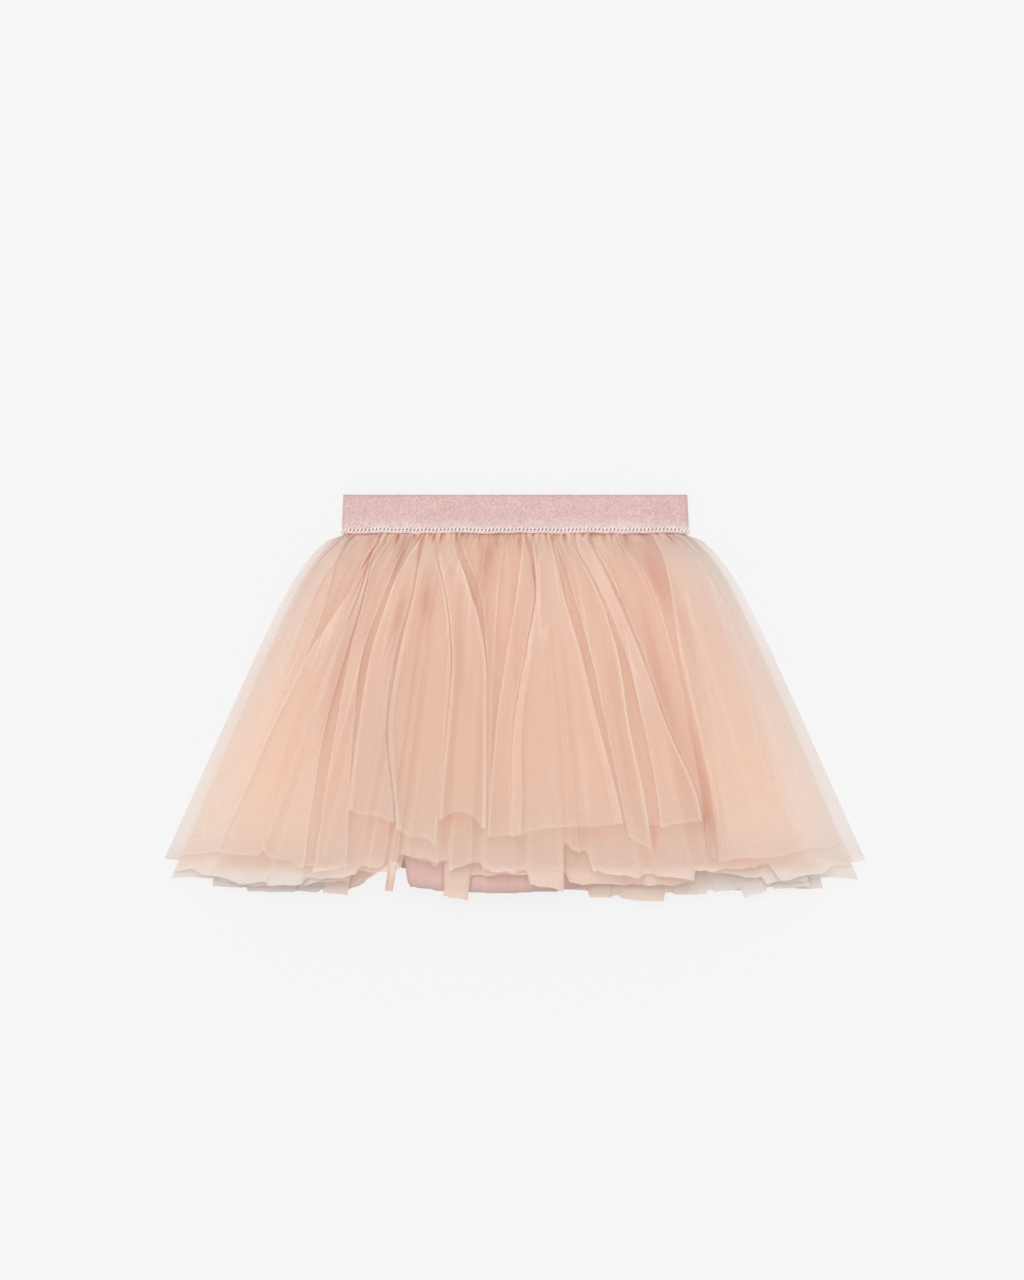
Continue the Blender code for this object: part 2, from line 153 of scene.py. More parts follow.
INNER_FRONT_FOLDS = [Fold(*row) for row in (
    (-1, -1, -1, -1, 3, 230, 232, 0.02, 0.01), (-0.8, -0.78, -0.77, -0.76, 5, 231, 228, 0.03, 0.01),
    (-0.56, -0.55, -0.54, -0.53, 5.5, 222, 220, 0.04, 0.01),
    (-0.34, -0.35, -0.36, -0.369, 5, 211, 218, 0.04, 0.02),
    (-0.22, -0.23, -0.24, -0.251, 6, 237, 239, 0.05, 0.01),
    (-0.1, -0.12, -0.13, -0.14, 5, 225, 222, 0.04, 0.01), (0.1, 0.12, 0.14, 0.15, 5, 228, 231, 0.04, 0.01),
    (0.34, 0.36, 0.38, 0.4, 6, 231, 228, 0.04, 0.01), (0.62, 0.63, 0.64, 0.639, 5, 222, 226, 0.03, 0.01),
    (0.8, 0.81, 0.82, 0.828, 3.5, 230, 229, 0.02, 0.01),
)]

INNER_BACK_FOLDS = [Fold(*row) for row in (
    (-1, -1, -1, -1, 1.8, 231, 233, 0.03, 0.02), (-0.9, -0.9, -0.9, -0.909, 2.2, 235, 236, 0.03, 0.02),
    (-0.74, -0.73, -0.72, -0.717, 2.3, 230, 232, 0.03, 0.02),
    (-0.65, -0.65, -0.65, -0.655, 2.3, 236, 238, 0.03, 0.02),
    (-0.53, -0.53, -0.54, -0.548, 2.3, 217, 216, 0.03, 0.02),
    (-0.37, -0.37, -0.37, -0.373, 2.2, 229, 227, 0.03, 0.02),
    (-0.14, -0.14, -0.15, -0.15, 2.3, 230, 232, 0.03, 0.02),
    (0.09, 0.09, 0.09, 0.086, 2.3, 231, 231, 0.03, 0.02),
    (0.23, 0.23, 0.24, 0.238, 2.2, 239, 239.5, 0.03, 0.02),
    (0.34, 0.34, 0.34, 0.335, 2.3, 240, 241.6, 0.03, 0.02),
    (0.51, 0.51, 0.52, 0.518, 2.3, 238, 237, 0.03, 0.02),
    (0.65, 0.66, 0.66, 0.66, 2.2, 236, 234, 0.03, 0.02),
    (0.74, 0.75, 0.75, 0.754, 2.2, 239, 236, 0.03, 0.02),
    (0.85, 0.85, 0.86, 0.86, 1.8, 234, 233, 0.03, 0.02),
)]

LINING_FRONT_FOLDS = [Fold(*row) for row in (
    (-1, -1, -1, -1, 0.7, 212, 212), (-0.78, -0.77, -0.77, -0.77, 1, 212, 213),
    (-0.57, -0.57, -0.57, -0.57, 1.1, 231.5, 234.5), (-0.3, -0.3, -0.3, -0.3, 1.1, 235, 236),
    (-0.05, -0.05, -0.05, -0.05, 1.1, 236, 235), (0.14, 0.15, 0.15, 0.15, 1.1, 235, 232),
    (0.36, 0.35, 0.35, 0.34, 1.1, 228, 222), (0.58, 0.59, 0.6, 0.6, 1, 222, 220),
    (0.78, 0.79, 0.8, 0.8, 0.7, 219, 217),
)]

LINING_BACK_FOLDS = [Fold(*row) for row in (
    (-1, -1, -1, -1, 0.6, 212, 211), (-0.72, -0.71, -0.7, -0.7, 0.8, 210, 220),
    (-0.5, -0.5, -0.5, -0.5, 0.8, 228, 232), (-0.22, -0.21, -0.2, -0.2, 0.8, 232, 232),
    (0.1, 0.1, 0.1, 0.1, 0.8, 231, 227), (0.38, 0.39, 0.4, 0.4, 0.8, 222, 220),
    (0.7, 0.7, 0.7, 0.7, 0.6, 218, 217),
)]

# A patch of other net: drop and place of its middle, its reach along and across, its lean in mm per
# mm, and its share. In bare patches the gathers part and the lining shows; a share below 0 packs them.
Patch = namedtuple("Patch", "drop place long wide lean share")
BARE_PATCHES = [Patch(*row) for row in (
    (60, 57, 50, 7, 0.1, -0.45), (160, 100, 40, 8, 0.05, -0.3),
    (125, -182, 90, 28, -0.43, -0.85), (17, -74, 18, 4.5, -0.3, 0.8),
    (47, -57, 14, 5, 0, 0.5), (60, -76, 26, 4.5, -0.22, 0.5),
    (18, -18, 19, 7, -0.1, 0.75), (27, 92, 26, 8, 0.35, 0.8),
    (13, -109, 13, 6, -0.3, 0.35), (84, -35, 30, 5, 0.1, 0.25),
    (116, 98, 60, 6, 0.22, 0.3),
)]

# Painted shade where a fold or a hem above holds off the light, and painted light elsewhere
OUTER_PAINTED_SHADE_PATCHES = [Patch(*row) for row in (
    (95, -117, 50, 4.5, -0.31, 0.45), (31, -101, 28, 2.6, -0.36, 0.25),
    (164, 122.5, 50, 4, 0.23, 0.6), (197, 124.5, 18, 3, 0.05, 0.7),
    (36, -26, 14, 3, 0.15, 0.4), (150, 94, 45, 3, 0.16, 0.35),
)]
OUTER_PAINTED_LIGHT_PATCHES = (Patch(160, -82, 55, 24, 0, 0.5),)
MIDDLE_PAINTED_SHADE_PATCHES = [Patch(*row) for row in (
    (186, -38, 8, 12, 0, 0.35), (192, -84, 8, 7, 0, 0.25),
    (195, 51, 10, 10, 0, 0.45), (196, 91, 16, 4, 0, 0.6),
    (217, 148, 5, 20, 0, 0.5), (224, -84, 14, 5, 0, 0.4),
    (194, 8, 6, 22, 0, 0.1),
)]

# A crease is a narrow ridge, or a slit where its rise is below 0, along a line through three drops and
# places from the middle. width is its half width, gain how much more net it packs and side where the
# net is doubled beside it: -1 on its left, 1 on its right, 0 neither.
Crease = namedtuple("Crease", "drops places rise width gain side", defaults=(0, 0))

OUTER_FRONT_CREASES = [Crease(*row) for row in (
    ((34, 44, 49), (-55, -65, -68.5), 1.2, 1.2, 0.9),
    ((14, 52, 74), (-48.5, -43.9, -41.3), 1, 1.2, 0.8),
    ((59, 79, 96), (-53.8, -47.2, -42.6), 1, 1.3, 0.8),
    ((60, 110, 186), (-39.3, -43, -49.8), -1.6, 1.3),
    ((-1, 17.8, 39.3), (-5, -14.9, -27), 0.8, 0.6, 1.2, 1),
    ((27, 49, 78), (-8.9, -14.2, -19.5), 1, 1.1, 0.9),
    ((3, 30, 38), (9.6, 12.9, 14.2), -1.6, 1),
    ((4, 41, 90), (30.7, 42.6, 51.2), 1.2, 1.2, 0.9),
    ((0.7, 12.3, 55.4), (42.6, 54.3, 72.9), 0.8, 0.6, 1.2, -1),
    ((70, 149, 193), (65, 77.6, 86.8), 1.2, 1.3, 0.9),
    ((80, 88, 95), (71.6, 76.6, 80.9), 1, 1.2, 0.7),
    ((48, 83, 149), (43.2, 49.2, 59.1), 1, 1.2, 0.8),
    ((136, 170, 202), (24.1, 23, 22.1), 1, 1.2, 0.7),
    ((116, 158, 183), (-86.1, -80.2, -76.9), -1.2, 0.9),
    ((136, 160, 182), (44, 45, 46.5), 1, 3, 0.5),
    ((20, 60, 116), (-97, -110, -128), 0.9, 1.2, 0.6),
    ((30, 90, 170), (128, 147, 168), 0.8, 2, 0.5),
    ((60, 120, 190), (142, 166, 188), 0.8, 2.2, 0.4),
    ((40, 110, 200), (112, 128, 141), 0.8, 1.6, 0.5),
    ((0.7, 17.8, 55.4), (-59.7, -70.3, -87.5), 0.8, 0.6, 1.3, 1),
    ((2, 12, 48.2), (-86, -93.5, -113.2), 0.6, 0.6, 1.2, -1),
    ((1.7, 14.2, 55.4), (-39.3, -36.4, -23.8), 0.8, 0.6, 1.2, -1),
    ((14.5, 30, 55.4), (-12.2, -16, -22.1), 0.5, 0.6, 0.9, 1),
    ((2.6, 21, 55.4), (71.3, 82.8, 98), 0.8, 0.6, 1.2, -1),
    ((-1, 4, 14), (102.6, 110, 121), 0.5, 0.6, 0.9, 1),
    ((5.3, 17.8, 55.4), (27.4, 31, 36.4), 0.6, 0.6, 1, -1),
    ((15.8, 24, 35.6), (58.7, 64, 70.3), 0.5, 0.6, 0.8, -1),
    ((1, 5, 9), (-14, -12.6, -11.4), -1.2, 0.9),
    ((0.5, 3, 6), (23.4, 24.4, 25.4), -1.2, 0.8),
    ((1, 8, 22), (-59.9, -61.5, -63.8), -1.2, 1.2),
    ((0, 2.5, 6), (-65, -65.3, -66), -1.2, 1.4),
    ((0, 2, 4), (-54.5, -54, -53), -1.2, 1.5),
    ((1, 4, 8), (-38, -38.6, -37.6), -1.2, 1),
    ((2, 5, 9), (-11.6, -11.9, -12.6), -1.2, 1.2),
    ((1, 6, 11), (-76, -77.5, -79.5), -1, 1.2),
)]


# ---- Rules of the cloth ----
def settle(drop, length):
    """0 at the seam, growing towards 1 over a few lengths."""
    return 1 - np.exp(-drop / length)


def ease(value, start, length):
    """0 up to the start and 1 from a length after it, smooth between."""
    share = np.clip((value - start) / length, 0, 1)
    return share * share * (3 - 2 * share)


def outline_half_width(drop):
    return SEAM_HALF_WIDTH + FLARE_SLOPE * drop + SHOULDER_WIDTH * settle(drop, SHOULDER_LENGTH)


def half_width(layer, drop):
    return layer.seam_half_width + layer.flare * (outline_half_width(drop) - SEAM_HALF_WIDTH)


def back_height(layer, drop):
    return layer.slot * (BACK_PITCH_AT_SEAM + BACK_PITCH_GROWTH * settle(drop, SPREAD_LENGTH))


def front_middle_height(layer, drop):
    height = FRONT_START + FRONT_RISE * settle(drop, FRONT_RISE_LENGTH)
    for above in LAYERS[1:layer.slot + 1]:
        height = height - above.front_step - above.step_growth * settle(drop, SPREAD_LENGTH)
    past = np.maximum(0, drop - HEM_SAG_START) / HEM_SAG_LENGTH
    return height - layer.sag * past ** 2 / (1 + past ** 2)


def crown(across, drop):
    """1 along the middle, 0 at the side edges."""
    near_seam = np.exp(-drop / CROWN_LENGTH)
    power = CROWN_POWER + CROWN_POWER_AT_SEAM * near_seam
    roundness = CROWN_ROUNDNESS + (CROWN_ROUNDNESS_AT_SEAM - CROWN_ROUNDNESS) * near_seam
    return np.maximum(0, 1 - np.abs(across) ** power) ** roundness


def panel_height(panel, across, drop):
    """How high the panel lies before its folds are added."""
    side = back_height(panel.layer, drop)
    if not panel.front:
        return side
    side = side + SIDE_LAP
    return side + (front_middle_height(panel.layer, drop) - side) * crown(across, drop)


def smooth_path(places, values, at):
    """A smooth curve through a few stops, read at many places."""
    places = np.asarray(places, float)
    values = np.asarray(values, float)
    slopes = np.gradient(values, places)
    step = np.clip(np.searchsorted(places, at) - 1, 0, len(places) - 2)
    width = places[step + 1] - places[step]
    t = np.clip((at - places[step]) / width, 0, 1)
    rest = 1 - t
    return (values[step] * (1 + 2 * t) * rest ** 2 + slopes[step] * width * t * rest ** 2
            + values[step + 1] * t ** 2 * (3 - 2 * t) - slopes[step + 1] * width * t ** 2 * rest)


# One wave of uneven cloth: its size, its length over 2 pi, and where it starts, in radians: turns
# times the shift that it is read with, plus start.
Wave = namedtuple("Wave", "size length turns start", defaults=(0, 0))


def ripple(waves, x, shift=0):
    return sum(wave.size * np.sin(x / wave.length + wave.turns * shift + wave.start) for wave in waves)


# Folds of the back nets that no table holds; widths and drifts are shares of the mean width.
WIDTH_LESS = 0.35
WIDTH_MORE = 0.45
DRIFT = 0.25
DRIFT_AT_FOOT = 1.5
LEAST_HEIGHT = 0.75
HEM_SPREAD = 1.2
HEM_SLANT = 1
HEM_SQUARENESS = 12  # the hems stay level longer before they rise at the sides
GAPS = (0.01, 0.03)
TUCKS = (0.02, 0.05)


def irregular_folds(count, height, middle_drop, side_drop, seed):
    """Folds of uneven width that drift a little from seam to hem."""
    dice = random.Random(seed)
    widths = [1 + dice.uniform(-WIDTH_LESS, WIDTH_MORE) for _ in range(count)]
    total = sum(widths)
    folds = []
    reached = 0
    for index, width in enumerate(widths):
        seam = 2 * reached / total - 1
        drift = dice.uniform(-DRIFT, DRIFT) / count if index else 0
        centre = seam + width / total
        drop = middle_drop + (side_drop - middle_drop) * abs(centre) ** HEM_SQUARENESS
        drop += dice.uniform(-HEM_SPREAD, HEM_SPREAD)
        if index in (0, count - 1):
            drop = side_drop
        rise = height * dice.uniform(LEAST_HEIGHT, 1)
        slant = dice.uniform(-HEM_SLANT, HEM_SLANT)
        gap = dice.uniform(*GAPS)
        tuck = dice.uniform(*TUCKS)
        folds.append(Fold(seam, seam + drift / 2, seam + drift, seam + drift * DRIFT_AT_FOOT, rise,
                          drop - slant, drop + slant, tuck, gap))
        reached += width
    return folds


def lobes_from(folds):
    """Lobes for a table of simpler folds."""
    stops = (0, UPPER_DROP, LOWER_DROP, FOOT_DROP)
    edges = [smooth_path(stops, (fold.seam, fold.upper, fold.lower, fold.foot), np.array(LOBE_DROPS))
             for fold in folds]
    edges.append(np.ones(len(LOBE_DROPS)))
    lobes = []
    for index, fold in enumerate(folds):
        left, right = edges[index], edges[index + 1]
        inner_left = index > 0
        inner_right = index + 1 < len(folds)
        lobes.append(Lobe(left + (right - left) * fold.gap * inner_left,
                          right - (right - left) * fold.gap * inner_right, fold.rise,
                          (fold.tuck * inner_left, fold.tuck * inner_right),
                          (fold.hem_left, fold.hem_right)))
    return lobes


# ---- One fold's section ----
# From the middle of the trough at its left to the one at its right: phases, and the height at each
# as a share of the rise. Between them the cloth runs on the floor of the trough, turns under the
# lobe's edge, comes out to the edge and rolls over the top.
SECTION_PHASES = (0, 0.09, 0.15, 0.21, 0.28, 0.38, 0.5, 0.62, 0.72, 0.79, 0.85, 0.91, 1)
SECTION_HEIGHTS = (0, 0.04, 0.22, 0.56, 0.86, 0.97, 1, 0.97, 0.86, 0.56, 0.22, 0.04, 0)
TURN_SHARE = 0.8  # where under its edge the cloth turns, as a share of its tuck
ROLL_OVER = 0.07  # how soon past its edge a lobe is nearly level, as a share of its width
FORM_LENGTH = 10  # the lobes take their own form within a few of these
HEM_FORM_DROP = 150  # and the form they have at the hem from here, over the next length
HEM_FORM_LENGTH = 60


def section_weights(phases):
    """How much each stop of the section counts at each phase."""
    stops = np.eye(len(SECTION_PHASES))
    return np.stack([smooth_path(SECTION_PHASES, stop, phases) for stop in stops])


def edge_at(lobes, index, side, drop):
    """A lobe's left or right edge, as a share of the half width."""
    return smooth_path(LOBE_DROPS, lobes[index].left if side < 0 else lobes[index].right, drop)


def trough_at(lobes, index, drop):
    """The middle of the trough before a lobe."""
    if index == 0:
        return -np.ones_like(drop)
    if index == len(lobes):
        return np.ones_like(drop)
    return (edge_at(lobes, index - 1, 1, drop) + edge_at(lobes, index, -1, drop)) / 2


def between_troughs(lobes, index, phase, drop):
    """Places from the trough before a lobe to the one after it, at one drop."""
    start = trough_at(lobes, index, np.full(1, drop))
    end = trough_at(lobes, index + 1, np.full(1, drop))
    return start + (end - start) * phase


def section_places(panel, index, weights, drop):
    """Where one lobe's cloth lies across the panel, where its left edge is, and its width."""
    lobes = panel.lobes
    start = trough_at(lobes, index, drop)
    end = trough_at(lobes, index + 1, drop)
    left = edge_at(lobes, index, -1, drop)
    right = edge_at(lobes, index, 1, drop)
    wide = right - left
    under_left, under_right = (tuck * settle(drop, FORM_LENGTH) * wide for tuck in lobes[index].tuck)
    stops = np.stack([start, left + under_left, left + under_left * TURN_SHARE, left,
                      left + ROLL_OVER * wide, left + wide / 4, left + wide / 2,
                      right - wide / 4, right - ROLL_OVER * wide,
                      right, right - under_right * TURN_SHARE, right - under_right, end])
    even = start + (end - start) * np.array(SECTION_PHASES)[:, None, None]
    hem_form = ease(drop, HEM_FORM_DROP, HEM_FORM_LENGTH)
    stops = even + (stops - even) * (panel.crisp + (panel.hem_crisp - panel.crisp) * hem_form)
    across = np.clip((stops * weights[:, None, :]).sum(axis=0), -1, 1)
    return across, left, wide


# ---- The cut edge ----
HEM_LIFT = 0.9  # between two folds of net the hem lies this much higher
HEM_WAVE = 0.55
FRONT_HEM_WAVES = (Wave(1, 2.9, 1), Wave(0.6, 1.13, 2), Wave(0.8, 6.1, 0.7))
BACK_HEM_WAVES = (Wave(1, 2.9, 1), Wave(0.2, 1.13, 2), Wave(0.8, 6.1, 0.7))
HEM_SHIFT = 2.3
TUCK_X = -80  # here the back nets' hems are caught up
TUCK_WIDTH = 13
TUCK_HEIGHT = 18


def trough_hem(panel, index):
    lobes = panel.lobes
    if index == 0:
        return lobes[0].hem[0]
    if index == len(lobes):
        return lobes[-1].hem[1]
    lift = 0 if panel.layer is LINING else HEM_LIFT
    return min(lobes[index - 1].hem[1], lobes[index].hem[0]) - lift


def hem_line(panel, index, phase, weights, seam_x):
    """The drop of one lobe's cut edge at each phase."""
    before = trough_hem(panel, index)
    after = trough_hem(panel, index + 1)
    left, right = panel.lobes[index].hem
    crest = (left + right) / 2 - panel.lobes[index].arch
    stops = (before, before, (before + left) / 2, left, left, (crest * 3 + left) / 4, crest,
             (crest * 3 + right) / 4, right, right, (after + right) / 2, after, after)
    line = np.array(stops) @ weights
    if panel.layer is LINING:
        return line
    waves = FRONT_HEM_WAVES if panel.front else BACK_HEM_WAVES
    line = line + HEM_WAVE * ripple(waves, seam_x, panel.seed * HEM_SHIFT)
    if panel.front:
        return line
    hem_x = between_troughs(panel.lobes, index, phase, FOOT_DROP) * half_width(panel.layer, FOOT_DROP)
    return line - TUCK_HEIGHT * np.exp(-((hem_x - TUCK_X) / TUCK_WIDTH) ** 2)


# ---- Gathers, creases and pleats ----
# Gathers of uneven width, length and size: their pitch, their length down from the seam, and how
# each varies.
Gathers = namedtuple("Gathers", "pitch shifts length lengths sizes")
FINE_GATHERS = Gathers(3.4, (Wave(0.6, 8.9, 1), Wave(0.4, 3.7)),
                       10, (Wave(6, 5.9, 1), Wave(3, 2.3, 0, 1)), (Wave(0.45, 6.7, 2),))
MEDIUM_GATHERS = Gathers(6.4, (Wave(0.5, 21, 1), Wave(0.25, 9)), 24, (Wave(14, 13, 1),), ())
MEDIUM_START = 6  # the medium ones grow over a few of these below the seam
GATHER_SHIFT = 1.7

STREAK_SEED = 101
STREAK_STARTS = (-4, -4, -4, -4, 10, 60)
STREAK_START_SPREAD = (0, 8)
STREAK_LENGTHS = (14, 24, 40, 90)
STREAK_STRETCH = (0.8, 1.4)
STREAK_PLACES = (-0.95, 0.66)
STREAK_SIZES = (0.3, 1)
STREAK_WIDTHS = (0.5, 0.9)
STREAK_LEAN = 1.6  # for a short one, less for a long one
STREAK_LEAN_LENGTH = 20
STREAK_FADE_IN = 0.1  # shares of its length over which it starts and ends
STREAK_FADE_OUT = 0.7
STREAK_RISE = 0.35  # the tallest
STREAK_GAIN = 1.2  # and how much more net it packs

CREVICE_SEED = 307
CREVICE_STEPS = (2.2, 3.4, 4.6, 7.5)
CREVICE_STEP_STRETCH = (0.7, 1.4)
CREVICE_LENGTHS = (4, 7, 11, 20)
CREVICE_STRETCH = (0.7, 1.3)
CREVICE_WIDTHS = (0.5, 1)
CREVICE_SIZES = (0.4, 1)
CREVICE_LEAN = 2
CREVICE_WIDENING = 0.04  # per mm of drop
CREVICE_DEPTH = 1.4

CREASE_START = (4, 8)  # a crease starts this far before its first drop, over the next length
CREASE_END = (10, 16)  # and ends in the same way at its last
SHORT_SLIT = 16  # longer slits get less painted shade
PLEAT_FADE = 5  # how far a pleat's doubled side reaches
PLEAT_GAIN = 0.35
# painted highlight on a pleat's ridge
PLEAT_PALE = 0.12
PLEAT_THINNING = 0.6  # beyond its edge the net is thinner, over a shorter reach
THIN_REACH = 0.6
PLEAT_SHADE = 0.35  # the narrow painted shade beside its edge
SHADE_OFF = 1.8  # and how far off it lies, in the pleat's own widths


def gathered(gathers, panel, seam_x, drop):
    """The height of one kind of gathers, from -1 to 1 and a little more."""
    shift = panel.seed * GATHER_SHIFT
    turns = seam_x / gathers.pitch + ripple(gathers.shifts, seam_x, shift)
    length = gathers.length + ripple(gathers.lengths, seam_x, shift)
    size = 1 + ripple(gathers.sizes, seam_x, shift)
    return size * np.sin(2 * math.pi * turns) * np.exp(-drop / length)


def soft_streaks(panel):
    """Small pleats that run with the cloth's fan: where each starts, its length, its place and lean
    as shares of the half width, its doubled side, its size and its width."""
    dice = random.Random(panel.seed * STREAK_SEED)
    for _ in range(panel.streaks):
        start = dice.choice(STREAK_STARTS) + dice.uniform(*STREAK_START_SPREAD)
        length = dice.choice(STREAK_LENGTHS) * dice.uniform(*STREAK_STRETCH)
        place = dice.uniform(*STREAK_PLACES)
        lean = dice.uniform(-STREAK_LEAN, STREAK_LEAN) / (length + STREAK_LEAN_LENGTH)
        yield (start, length, place, lean, dice.choice((-1, 1)), dice.uniform(*STREAK_SIZES),
               dice.uniform(*STREAK_WIDTHS))


def seam_crevices(panel):
    """Where the seam pinches the cloth: places along it, lengths, leans, widths and depths."""
    dice = random.Random(panel.seed * CREVICE_SEED)
    place = -SEAM_HALF_WIDTH
    while place < SEAM_HALF_WIDTH:
        place += dice.choice(CREVICE_STEPS) * dice.uniform(*CREVICE_STEP_STRETCH)
        yield (place, dice.choice(CREVICE_LENGTHS) * dice.uniform(*CREVICE_STRETCH),
               dice.uniform(-CREVICE_LEAN, CREVICE_LEAN), dice.uniform(*CREVICE_WIDTHS),
               dice.uniform(*CREVICE_SIZES))


def pleat(off, shown, side, width):
    """A small pleat's ridge, the net that is doubled on one side of it and thinner on the other, and
    the painted shade beside it; off is the distance from its line, in its own widths."""
    ridge = shown * np.exp(-off ** 2)
    beside = off * side
    past = ease(beside, -0.5, 1)
    doubled = past * np.exp(-np.maximum(beside, 0) * width / PLEAT_FADE)
    thinned = (1 - past) * np.exp(-np.maximum(-beside, 0) * width / (PLEAT_FADE * THIN_REACH))
    shade = PLEAT_SHADE * shown * np.exp(-(beside + SHADE_OFF) ** 2)
    return ridge, PLEAT_GAIN * shown * (doubled - PLEAT_THINNING * thinned), shade


def add_creases(panel, across, x, drop):
    """Height, extra net, painted shade and painted highlight that the panel's creases add at each point."""
    height, extra, deep, pale = np.zeros((4,) + x.shape)
    half = half_width(panel.layer, drop)
    for crease in panel.creases:
        first, _, last = crease.drops
        shown = (ease(drop, first - CREASE_START[0], CREASE_START[1])
                 * (1 - ease(drop, last - CREASE_END[0], CREASE_END[1])))
        off = (x - smooth_path(crease.drops, crease.places, drop)) / crease.width
        ridge, doubled, shade = pleat(off, shown, crease.side, crease.width)
        height += crease.rise * ridge
        extra += crease.gain * ridge
        pale += PLEAT_PALE * crease.gain * ridge
        if crease.side:
            extra += crease.gain * (ridge + doubled)
            deep += shade
        if crease.rise < 0:
            deep += ridge * min(1, SHORT_SLIT / (last - first))
    for start, length, place, lean, side, size, width in soft_streaks(panel):
        along = (drop - start) / length
        shown = size * ease(along, 0, STREAK_FADE_IN)
        shown = shown * (1 - ease(along, 1 - STREAK_FADE_OUT, STREAK_FADE_OUT))
        off = (across - place - lean * along) * half / width
        ridge, doubled, shade = pleat(off, shown, side, width)
        height += STREAK_RISE * ridge
        pale += PLEAT_PALE * ridge
        extra += STREAK_GAIN * (ridge + doubled)
        deep += shade
    for place, length, lean, width, size in seam_crevices(panel):
        aside = (across - place / SEAM_HALF_WIDTH) * half - lean * drop / length
        reach = width * (1 + CREVICE_WIDENING * drop)
        slit = size * (1 - ease(drop, 0, length)) * np.exp(-(aside / reach) ** 2)
        height -= CREVICE_DEPTH * slit
        # painted shade in the crevice
        deep += slit
    return height, extra, deep, pale


def patched(patches, x, drop):
    """How much of the patches' effect lies at each point."""
    total = np.zeros_like(x)
    for patch in patches:
        along = (drop - patch.drop) / patch.long
        aside = (x - patch.place - patch.lean * (drop - patch.drop)) / patch.wide
        total += patch.share * np.exp(-along ** 2 - aside ** 2)
    return total


# ---- How much light the folds stop, and the light and shade painted into their colour ----
TROUGH_TOP = 0.25  # the part of a fold's rise that counts as its trough
FULL_TUCK = 0.1  # folds tucked this much have the full trough
RIM_TOP = (0.5, 0.3)  # from here up a rim shows, over the next part of the rise
RIM_REACH = 1.6  # and this far from the fold's edge
RIM_GAIN = 5  # how much more net shows there
# painted highlight on the rim
RIM_PALE = 0.8
DEEP_GAIN = 2.6  # and where painted shade lies deep, as in a crevice
GATHER_DEEP = 0.4  # how deep the painted shade is between two gathers,
SEAM_DEEP = 0.5  # and painted shadow here and there below the elastic
SEAM_SHADOW = 1.1
SEAM_GAPS = (Wave(1.8, 1.7, 1),)
SEAM_GAP_SHIFTS = (Wave(2.3, 6.7, 1),)
LEAST_GAP = 0.7
SEAM_PACK = 3  # the gathers are packed tight where they leave the seam
SEAM_PACK_LENGTH = 2.5
WAIST_DEEP = 0.12  # painted shade near the waist, where the colour is deeper
WAIST_DEEP_LENGTH = 50
HEM_CURL = 0.7  # how much more net shows where the cut edge curls
HEM_CURL_WIDTH = 1.1
# painted highlight on the curled hem
CURL_PALE = 0.1
HEM_PALE = 0.36  # painted light towards the hem, where the folds let light in
HEM_PALE_DROP = 150
HEM_PALE_LENGTH = 80
LOW_HEM_DROP = 216  # from here down the hems lie bunched:
LOW_HEM_LENGTH = 12
LOW_HEM_PALE = 0.7  # painted shade, greyer towards the sides
LOW_HEM_DEEP = 0.25  # and painted deeper shade in the middle,
MIDDLE_REACH = 95  # which ends from here on
MIDDLE_FADE = 50
SIDE_PALE = 0.9  # painted haze near the skirt's two sides, where light shines through it,
SIDE_REACH = 18
SIDE_MORE = 0.15  # on the right side more, on the left less
SIDE_AT_WAIST = 0.6  # more near the waist
SIDE_WAIST_LENGTH = 60
SIDE_BEHIND = 0.5  # half as much on the back nets


def fold_trough(panel, index, phase, crest, drop):
    """How deep in a trough between two lobes the cloth lies, from 0 to 1."""
    outermost = (phase < 0.5) & (index == 0) | (phase > 0.5) & (index + 1 == len(panel.lobes))
    tuck = np.where(phase < 0.5, *panel.lobes[index].tuck) * ~outermost
    return settle(drop, FORM_LENGTH) * (1 - ease(crest, 0, TROUGH_TOP)) * np.minimum(tuck / FULL_TUCK, 1)


def fold_rim(panel, index, crest, drop, across, left, wide):
    """How much of a fold's turned edge a look straight down passes through."""
    inward = (across - left) / np.maximum(wide, 1e-6)
    span = wide * half_width(panel.layer, drop)
    near_left, near_right = (tuck * np.exp(-np.maximum(past, 0) * span / RIM_REACH)
                             for tuck, past in zip(panel.lobes[index].tuck, (inward, 1 - inward)))
    return (near_left + near_right) * ease(crest, *RIM_TOP) * settle(drop, FORM_LENGTH) * panel.crisp


def seam_painted_shade(panel, seam_x, fine, drop):
    """How much painted shade lies between the gathers, under the elastic and near the waist."""
    valley = np.maximum(-fine, 0) ** 2
    gaps = ripple(SEAM_GAPS, seam_x, ripple(SEAM_GAP_SHIFTS, seam_x, panel.seed))
    return (GATHER_DEEP * valley + SEAM_DEEP * ease(gaps, LEAST_GAP, 1) * np.exp(-drop / SEAM_SHADOW)
            + WAIST_DEEP * np.exp(-drop / WAIST_DEEP_LENGTH))


def low_hem_tones(panel, x, drop):
    """Painted shade of the lowest, bunched hems: deeper in the middle, greyer towards the sides."""
    low = ease(drop, LOW_HEM_DROP, LOW_HEM_LENGTH)
    outwards = ease(np.abs(x), MIDDLE_REACH, MIDDLE_FADE)
    if panel.front:
        return LOW_HEM_DEEP * low * (1 - outwards), LOW_HEM_PALE * low * (1 + outwards) / 2
    return 0, LOW_HEM_PALE * low * outwards


def side_distance(x, drop):
    return np.maximum(outline_half_width(np.maximum(drop, 0)) - np.abs(x), 0)


def side_haze(panel, x, drop):
    """How much painted haze the light gives the net near the skirt's two sides."""
    wider = 1 + SIDE_MORE * np.sign(x)
    hazy = SIDE_PALE * wider * (1 + SIDE_AT_WAIST * np.exp(-drop / SIDE_WAIST_LENGTH))
    reach = np.exp(-side_distance(x, drop) / (SIDE_REACH * wider))
    return hazy * reach * (1 if panel.front else SIDE_BEHIND)


